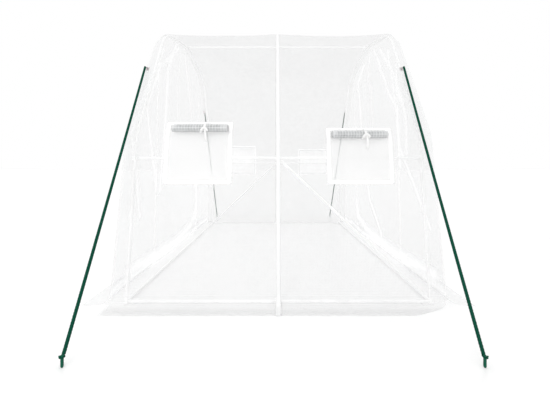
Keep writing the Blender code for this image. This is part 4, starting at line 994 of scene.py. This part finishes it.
# Each long fold is painted whiter along its line, as a painted highlight. The narrow streaks high
# on the wall are painted highlights with no fold under them.
FOLD_WIDTHS = (0.036, 0.024, 0.028, 0.026, 0.026, 0.058)
FOLD_HIGHLIGHTS = (0.78, 0.58, 0.70, 0.72, 0.72, 0.88)


def wall_x(high):
    """The inner face of an end wall, which leans in a little towards the ridge."""
    return edge_x(high) + CLEAR


def away_from(line, y, z):
    """How far points of the wall lie from a fold's line."""
    best = np.full(np.shape(y), 9.0)
    for (y0, z0), (y1, z1) in zip(line, line[1:]):
        way = np.array([y1 - y0, z1 - z0])
        share = ((y - y0) * way[0] + (z - z0) * way[1]) / (way @ way)
        share = np.clip(share, 0, 1)
        best = np.minimum(best, np.hypot(y - y0 - share * way[0], z - z0 - share * way[1]))
    return best


def wall_folds(end, y, z, half):
    """How far the wall's film stands out at its places, and how much of it is gathered there, with
    painted highlights along its folds.
    """
    fan = y / np.maximum(half, 0.05)
    places = stacked(fan * 3.6, z * 0.5 + 3 * end)
    long_folds = noise_at(places, LONG_FOLDS, 4.0 + end)
    thin_highlights = noise_at(places, THIN_HIGHLIGHT_SCALES, 8.0 + end)
    out = WALL_FOLD * (0.5 + 0.5 * long_folds)
    # Painted highlights: narrow streaks high on the wall, and a whiter line along each long fold.
    gather = THIN_HIGHLIGHT * smooth(thin_highlights, 0.0, 0.6) * smooth(z, 0.3, 1.6)
    for line, width, white in zip(FOLD_LINES[end], FOLD_WIDTHS, FOLD_HIGHLIGHTS):
        near = np.exp(-((away_from(line, y, z) / width) ** 2))
        out = out + STREAK * near
        gather = np.maximum(gather, white * near)
    band = 1 - smooth(z, HEM_BAND * 0.6, HEM_BAND * 1.3)
    return out, np.maximum(gather, HEM_BAND_WHITE * band)


def wall_rows():
    """Rows of an end wall: how far out, half the width, the height, and how far it may fold."""
    share = np.linspace(1, 0, END_SKIRT_ROWS + 1)[:-1]
    foot = length_at(SKIRT_RISE)
    foot_half = film_at(foot, OUTER_OFF)[0]
    lying_x = wall_x(SKIRT_RISE) + share * END_SKIRT
    lying_z = CLEAR + SKIRT_RISE * np.exp(-share / SKIRT_BEND) + FILM_THICK / 2
    lying_half = foot_half + END_SKIRT_FLARE * share
    lengths = spaced([foot, length_at(DOOR_TOP), RIDGE_LENGTH], GRID_STEP)[:-1]
    level = film_at(lengths, FILM_OFF)[1]
    half, high = film_at(lengths, OUTER_OFF)
    drop = DROOP * smooth(high, DROOP_START, DROOP_FULL)
    way_out, way_high = normal_at(lengths)
    half, high = half - drop * way_out, high - drop * way_high
    x = wall_x(level) + FILM_THICK / 2
    keep = half > RIDGE_TIP * 2
    lying, free = (lying_x, lying_half, lying_z, 0 * share), (x, half, high, np.ones(len(x)))
    return [np.concatenate([low, upper[keep]]) for low, upper in zip(lying, free)]


def end_wall(end_name, end):
    x, half, high, free = wall_rows()
    door_level = film_at(length_at(DOOR_TOP), OUTER_OFF)
    door = DOOR_HALF * np.minimum(1.0, half / door_level[0])
    jamb = np.linspace(0, 1, JAMB_COLUMNS + 1)[:-1]
    inner = np.linspace(-1, 1, DOOR_COLUMNS + 1)
    y = np.concatenate(
        [
            -half[:, None] + (half - door)[:, None] * jamb,
            door[:, None] * inner,
            half[:, None] - (half - door)[:, None] * jamb[::-1],
        ],
        axis=1,
    )
    z = np.tile(high[:, None], (1, y.shape[1]))
    out, gather = wall_folds(end, y, z, half[:, None])
    rim = smooth(half[:, None] - np.abs(y), 0.0, 0.05)
    beside = smooth(np.abs(np.abs(y) - door[:, None]), 0.012, 0.05)
    low = smooth(door_level[1] - z, -0.06, 0.0)
    beside = beside * low + (1 - low)
    out = out * rim * beside * free[:, None]
    lifts = END_LIFT * (1 - free[:, None]) * np.abs(noise_at(stacked(y, z), END_WAVES, 2.0))
    grid = stacked(end * (x[:, None] + out), y, z + lifts)
    missing = np.zeros((len(x) - 1, y.shape[1] - 1), bool)
    levels = (high[1:] + high[:-1]) / 2
    doorway = range(JAMB_COLUMNS, JAMB_COLUMNS + DOOR_COLUMNS)
    missing[np.ix_(levels < door_level[1], doorway)] = True
    rise = running(stacked(x, high))
    flat = stacked(y, rise[:, None])
    edge = 1 - smooth(half[:, None] - np.abs(y), 0.008, 0.02)
    gather = np.maximum(gather, 0.4 * edge) * (0.15 + 0.85 * free[:, None])
    # The end wall's skirt on the ground is veiled more. This is partly doubled film and partly
    # painted shade.
    lying = np.broadcast_to(1 - free[:, None], y.shape)
    made = grid_piece(
        f"{end_name}_end_sheet",
        grid,
        end_film,
        missing=missing,
        cut=flat,
        gather=gather,
        double=lying,
        flip=end < 0,
    )
    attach(made, "greenhouse")
    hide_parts(f"{end_name}_end_wall")


end_film = film_material(
    "end_film", END_GREY, END_VEIL, HANGING_THREADS, END_GATHER, END_GLOW, HANGING_RELIEF
)

for end_name, end in ENDS.items():
    end_wall(end_name, end)

# The doors: the middle of each end wall is a panel of the same film that rolls up between two
# zips. A round weighted hem closes it at the foot, with a flap that lies out on the ground.

DOOR_WAVE, DOOR_WAVES = 0.0048, 3
DOOR_SIZE, DOOR_ROWS = (1.03, 1.68), 96
HEM_RADIUS, HEM_THICK, HEM_FLAP = 0.014, 0.0016, 0.130
HEM_START = math.radians(60)
HEM_LIFT, HEM_WAVES = 0.004, (6.0, 7.0)
# The hem film has a painted glow, spread over all of it by its creased share. It is also whiter
# where it is creased.
HEM_VEIL, HEM_GATHER, HEM_CREASE_AND_GLOW, HEM_GLOW = 0.09, 0.24, 0.45, 0.50
ZIP_HALF = 0.010


def door(end_name, end):
    body = f"{end_name}_door_lift"
    half = DOOR_HALF - CLEAR
    top = float(film_at(length_at(DOOR_TOP), OUTER_OFF)[1]) - 3 * CLEAR
    z = np.linspace(DOOR_FOOT, top, DOOR_ROWS)[:, None]
    y = np.linspace(-half, half, DOOR_COLUMNS + 1)[None, :]
    y, z = np.broadcast_arrays(y, z)
    wide = film_at(length_at(z), OUTER_OFF)[0]
    out, gather = wall_folds(end, y, z, wide)
    under_tape = smooth(half - np.abs(y), ZIP_HALF + 0.002, 0.05)
    fade = smooth(z, DOOR_FOOT, DOOR_FOOT + 0.10) * (1 - smooth(z, top - 0.06, top))
    wave = 0.5 - 0.5 * np.cos(math.tau * DOOR_WAVES * (y / half + 1) / 2)
    x = wall_x(z) + FILM_THICK / 2 + (out + DOOR_WAVE * wave) * under_tape * fade
    grid = stacked(end * x, y, z)
    name, flat = f"{end_name}_door_panel", stacked(y, z)
    panel = grid_piece(name, grid, end_film, cut=flat, gather=gather, flip=end < 0)
    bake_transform(panel)
    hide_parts(f"{end_name}_door")
    radius = HEM_RADIUS - HEM_THICK / 2
    high = DOOR_FOOT - CLEAR - HEM_RADIUS
    turn = np.linspace(HEM_START, math.tau * 0.75, 26)
    path = stacked(radius * np.cos(turn), high + radius * np.sin(turn))
    share = np.linspace(0, 1, 14)[1:]
    ground = CLEAR + HEM_THICK
    low = path[-1, 1]
    lying = stacked(HEM_FLAP * share, ground + (low - ground) * (1 - share) ** 3)
    path = np.concatenate([path, lying])
    y = np.linspace(-1, 1, 61) * (DOOR_HALF - ZIP_HALF - CLEAR)
    grid = stacked(end * (wall_x(high) + path[:, :1]), y, path[:, 1:])
    lift = smooth(np.arange(len(path)), len(turn) + 3, len(path))[:, None]
    grid[..., 2] += HEM_LIFT * lift * np.abs(noise_at(grid[..., :2], HEM_WAVES, 4.0))
    gather = np.full(grid.shape[:2], HEM_CREASE_AND_GLOW)
    hem = grid_piece(f"{end_name}_hem", grid, hem_film, HEM_THICK, gather=gather, flip=end > 0)
    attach(hem, body)
    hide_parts(f"{end_name}_door_hem")


hem_film = film_material(
    "hem_film", FILM_WHITE, HEM_VEIL, HANGING_THREADS, HEM_GATHER, HEM_GLOW, HANGING_RELIEF
)

for end_name, end in ENDS.items():
    door(end_name, end)

# The zips: a white nylon coil on a woven tape, sewn to the end wall on its outer half and lapping
# the door's edge on its inner half. A moulded slider with a pull tab runs on each.

TAPE_THICK = 0.0007
COIL_HALF, COIL_RISE, COIL_PITCH = 0.0026, 0.0007, 0.0022
ZIP_FOOT, ZIP_HEAD = 0.050, 1.72
NYLON_WHITE = (0.95, 0.95, 0.955, 1)
NYLON_WORN = (0.86, 0.86, 0.87, 1)
# NYLON_GLOW is a painted glow on the zip's tape, coil and slider, which lifts their white.
NYLON_GLOW = 0.30
TAPE_STEP, TAPE_VEIL, TAPE_MARK_VEIL = 0.012, 0.22, 0.40
TAPE_RIBS, TAPE_SEAM = (0.0012, 0.0004), (0.002, 0.004, 0.0004)

zip_tape, tree, shader = new_material(
    "zip_tape", Roughness=0.72, Emission_Color=STRAP_WHITE, Emission_Strength=NYLON_GLOW
)
shade = webbed(tree, shader, ZIP_HALF, TAPE_RIBS, TAPE_SEAM, 0.4)[1]
feed(tree, shader.inputs["Alpha"], ranged(tree, shade, 0, 1, TAPE_VEIL, TAPE_MARK_VEIL))
bumped(tree, shader, math_node(tree, "SUBTRACT", 1.0, shade), 0.0004, 0.7)

even = {"Roughness": 0.38, "dull": 0.38}
painted_glow = {"Emission_Color": NYLON_WHITE, "Emission_Strength": NYLON_GLOW}
wear = {"patches": 40.0, "specks": 400.0, "grain": 1200.0}
nylon = worn_skin("zip_nylon", NYLON_WHITE, NYLON_WORN, **wear, **even, **painted_glow)


def zip_line(corner, end, side):
    z = np.arange(ZIP_FOOT, ZIP_HEAD, TAPE_STEP)
    back = FILM_THICK + CLEAR
    x = end * (wall_x(z) + back + TAPE_THICK / 2)
    path = stacked(x, side * DOOR_HALF, z)
    tape = strap_piece(
        f"{corner}_zip_tape", path, (0, 1, 0), 2 * ZIP_HALF, TAPE_THICK, zip_tape
    )
    z = np.arange(ZIP_FOOT, ZIP_HEAD - 0.01, COIL_PITCH)
    turn = np.linspace(0, math.pi, 7)[None, :]
    swell = (0.72 + 0.28 * (np.arange(len(z)) % 2))[:, None]
    x = end * (wall_x(z)[:, None] + back + TAPE_THICK + COIL_RISE * swell * np.sin(turn))
    y = side * DOOR_HALF + COIL_HALF * swell * np.cos(turn)
    coil = grid_piece(f"{corner}_zip_coil", stacked(x, y, z[:, None]), nylon)
    for piece in (tape, coil):
        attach(piece, "greenhouse")


for corner, end, side in CORNERS:
    zip_line(corner, end, side)
    dress(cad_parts[f"{corner}_zip_slider"], nylon)


# The guy ropes: twisted dark green cord, 14 mm thick, tied to a small sewn loop beside each end
# hoop and drawn tight down to a hook on a green plastic peg that is pushed into the ground.

LOOP_HEIGHT = 1.50
LOOPS_FROM_MIDDLE = {-1: 0.935, 1: 0.888}
LOOP_LENGTH, LOOP_DEPTH, LOOP_WIDTH, LOOP_THICK = 0.030, 0.010, 0.014, 0.0016
LOOP_SIDES = 8
LOOP_PINK = (0.62, 0.56, 0.57, 1)
LOOP_PALE = (0.80, 0.76, 0.77, 1)
ROPE_RADIUS = 0.0072
ROPE_POINTS = 20
ROPE_SAG = 0.006
ROPE_END_OUT, ROPE_END_UP = 0.0054, 0.0026
ROPE_LAY = 0.034
STRANDS = 3
STRAND_DEPTH = 0.16
PEG_OUT = 1.445
PEGS = {(-1, -1): 0.871, (1, -1): 0.819, (-1, 1): 0.952, (1, 1): 0.864}
PEG_RADIUS, PEG_HEIGHT, PEG_TIE = 0.0055, 0.050, 0.88
# The peg's outline from the ground up: height, and share of its radius
PEG_OUTLINE = (
    (0.0, 0.70), (0.006, 1.0), (0.020, 1.0), (0.0212, 0.88), (0.0226, 1.0), (0.0300, 1.0),
    (0.0312, 0.88), (0.0326, 1.0), (0.0462, 1.0), (0.0490, 0.85), (0.0500, 0.45),
)
HOOK_HIGH, HOOK_RADIUS, HOOK_BEND = 0.0400, 0.0033, math.radians(70)
HOOK_OUT, HOOK_UP = 0.0065, 0.0150
PATCH_HALF, PATCH_THICK = 0.016, 0.0012
HITCH_RADIUS, HITCH_FALL, HITCH_LAY = 0.0030, 0.005, 0.010
HITCH_TURNS, HITCH_POINTS = 1.1, 40
ROPE_GREEN = (0.001, 0.050, 0.028, 1)
ROPE_LIGHT = (0.003, 0.090, 0.054, 1)
PEG_GREEN = (0.002, 0.078, 0.044, 1)
PEG_WORN = (0.008, 0.125, 0.075, 1)

loop_cloth, tree, shader = new_material("loop_webbing", Roughness=0.8)
ribs = woven(tree, 0.0014, 0.0004)
coloured(tree, shader, ribs, LOOP_PINK, LOOP_PALE)
bumped(tree, shader, ribs, 0.0003, 0.7)

rope_yarn, tree, shader = new_material("rope_yarn", Roughness=0.8, Specular_IOR_Level=0.12)
parts = add_node(tree, "ShaderNodeSeparateXYZ", {0: cut_place(tree)}).outputs
lean = math_node(tree, "MULTIPLY", parts["Y"], 55.0)
lean = math_node(tree, "MULTIPLY_ADD", parts["X"], 4.0, lean)
fibre = math_node(tree, "SINE", math_node(tree, "MULTIPLY", lean, 40.0))
fuzz = noise_node(tree, object_place(tree), 700.0, 3.0)
fibre = math_node(tree, "MULTIPLY_ADD", fibre, 0.3, fuzz)
coloured(tree, shader, ranged(tree, fibre, 0.3, 0.9), ROPE_GREEN, ROPE_LIGHT)
bumped(tree, shader, fibre, 0.0005, 0.6)

gloss = {"Roughness": 0.32, "Specular_IOR_Level": 0.15}
wear = {"patches": 60.0, "specks": 500.0, "grain": 1500.0, "depth": 0.0003}
peg_plastic = worn_skin("peg_plastic", PEG_GREEN, PEG_WORN, **wear, **gloss)


def twisted(name, path, radius, lay, material, sides=24, step=0.003):
    """A rope of three twisted strands along a path, closed at both ends."""
    along = running(path)
    fine = np.linspace(0, along[-1], max(8, round(along[-1] / step)) + 1)
    line = stacked(*(np.interp(fine, along, places) for places in path.T))
    ways = unit(np.gradient(line, axis=0))
    across = unit(np.cross(ways, (1.0, 0.013, 0.027)))
    other = np.cross(ways, across)
    turn = np.linspace(0, math.tau, sides + 1)[None, :]
    twist = math.tau * fine[:, None] / lay
    lobe = np.abs(np.cos((turn - twist) * STRANDS / 2))
    size = radius * (1 - STRAND_DEPTH + STRAND_DEPTH * lobe)
    size = size * np.minimum(1, 0.60 + np.minimum(fine, fine[-1] - fine)[:, None] / radius)
    grid = swept(line, across[:, None], other[:, None], size, turn)
    return round_piece(name, grid, material, stacked(turn - twist, fine[:, None]))


def swept(line, across, other, size, turn):
    """Rings of points round a line, in the plane of two directions at each of its points."""
    level, up = ((size * share)[..., None] for share in (np.cos(turn), np.sin(turn)))
    return line[:, None] + across * level + other * up


def round_piece(name, grid, material, cut):
    """A closed bar from rings of points whose first and last points meet."""
    rows, columns = grid.shape[:2]
    points = grid[:, :-1].reshape(-1, 3)
    count = columns - 1
    faces, corners = [], []
    for r in range(rows - 1):
        for c in range(count):
            after = (c + 1) % count
            faces.append(
                (r * count + c, r * count + after, (r + 1) * count + after, (r + 1) * count + c)
            )
            corners += [cut[r, c], cut[r, c + 1], cut[r + 1, c + 1], cut[r + 1, c]]
    first = list(range(count))[::-1]
    last = list(range((rows - 1) * count, rows * count))
    faces += [tuple(first), tuple(last)]
    corners += [cut[0, c] for c in first] + [cut[-1, c] for c in range(count)]
    made = new_piece(name, points, faces, material)
    layer = made.data.uv_layers.new(name="cut")
    layer.data.foreach_set("uv", np.asarray(corners, np.float32).ravel())
    return made


def guy_loop(corner, end, side):
    out, high = film_at(length_at(LOOP_HEIGHT), OUTER_OFF)
    loop_out = out + LOOP_LENGTH / 2 - FILM_THICK
    centre = np.array((end * LOOPS_FROM_MIDDLE[end], side * loop_out, high))
    turn = np.linspace(0, math.tau, 33)
    path = centre + stacked(
        0,
        -side * (LOOP_LENGTH - LOOP_THICK) / 2 * np.cos(turn),
        (LOOP_DEPTH - LOOP_THICK) / 2 * np.sin(turn),
    )
    ring = strap_piece(
        f"{corner}_guy_loop", path, (1, 0, 0), LOOP_WIDTH, LOOP_THICK, loop_cloth
    )
    length = length_at(LOOP_HEIGHT) + np.linspace(-PATCH_HALF, PATCH_HALF, 7)
    patch_out, patch_high = film_at(length, OUTER_OFF + CLEAR + LOOP_THICK / 2)
    path = stacked(centre[0], side * patch_out, patch_high)
    patch = strap_piece(
        f"{corner}_loop_patch", path, (1, 0, 0), LOOP_WIDTH * 1.5, PATCH_THICK, loop_cloth
    )
    made = joined([ring, patch], f"{corner}_guy_loop")
    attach(made, "greenhouse")
    return centre


def peg_piece(corner, end, side):
    """The peg above the ground: a ribbed round pin with a flared head and a hook."""
    foot = np.array((end * PEGS[end, side], side * PEG_OUT, 0.0))
    outline = np.array(PEG_OUTLINE)
    turn = np.linspace(0, math.tau, 25)[None, :]
    size = outline[:, 1:] * PEG_RADIUS
    grid = stacked(size * np.cos(turn), size * np.sin(turn), outline[:, :1])
    flat = stacked(turn * PEG_RADIUS, outline[:, :1])
    pin = round_piece(f"{corner}_peg_pin", grid + foot, peg_plastic, flat)
    way = np.array((end, side, 0.0)) / math.sqrt(2)
    share = np.linspace(0, 1, 12)[:, None]
    bend = share * HOOK_BEND
    line = foot + (0, 0, HOOK_HIGH) + way * (0.003 + HOOK_OUT * np.sin(bend))
    line = line + np.array((0, 0, 1.0)) * (HOOK_UP * (1 - np.cos(bend)))
    ways = unit(np.gradient(line, axis=0))
    level = np.cross(way, (0, 0, 1.0))
    up = np.cross(level, ways)
    size = HOOK_RADIUS * (1 - 0.25 * share**2)
    grid = swept(line, level, up[:, None], size, turn)
    flat = stacked(turn * 0.003, share * 0.012)
    hook = round_piece(f"{corner}_peg_hook", grid, peg_plastic, flat)
    made = joined([pin, hook], f"{corner}_ground_peg")
    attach(made, "greenhouse")
    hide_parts(f"{corner}_peg")
    return made


def guy_rope(corner, end, side):
    loop = guy_loop(corner, end, side)
    peg = peg_piece(corner, end, side)
    reach = LOOP_LENGTH / 2 * math.cos(math.pi / LOOP_SIDES)
    knot_out = reach + ROPE_END_OUT + CLEAR
    start = loop + np.array((0, side * knot_out, ROPE_END_UP))
    peg_side = PEG_OUT - PEG_RADIUS - CLEAR
    stop = np.array((end * PEGS[end, side], side * peg_side, PEG_HEIGHT * PEG_TIE))
    share = np.linspace(0, 1, ROPE_POINTS)[:, None]
    path = start * (1 - share) + stop * share
    path[:, 2:] -= 4 * ROPE_SAG * share * (1 - share)
    rope = twisted(f"{corner}_guy_rope", path, ROPE_RADIUS, ROPE_LAY, rope_yarn)
    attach(rope, "greenhouse")
    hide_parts(f"{corner}_rope")
    turn = np.linspace(0, HITCH_TURNS * math.tau, HITCH_POINTS) - side * math.pi / 2
    fall = np.linspace(0, -HITCH_FALL, HITCH_POINTS)
    wound = np.array((end * PEGS[end, side], side * PEG_OUT, PEG_HEIGHT * PEG_TIE))
    ring = PEG_RADIUS + HITCH_RADIUS * 0.8
    wound = wound + stacked(ring * np.cos(turn), ring * np.sin(turn), fall)
    name = f"{corner}_peg_hitch"
    hitch = twisted(name, wound, HITCH_RADIUS, HITCH_LAY, rope_yarn, sides=12, step=0.002)
    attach(hitch, "greenhouse")


for corner, end, side in CORNERS:
    guy_rope(corner, end, side)
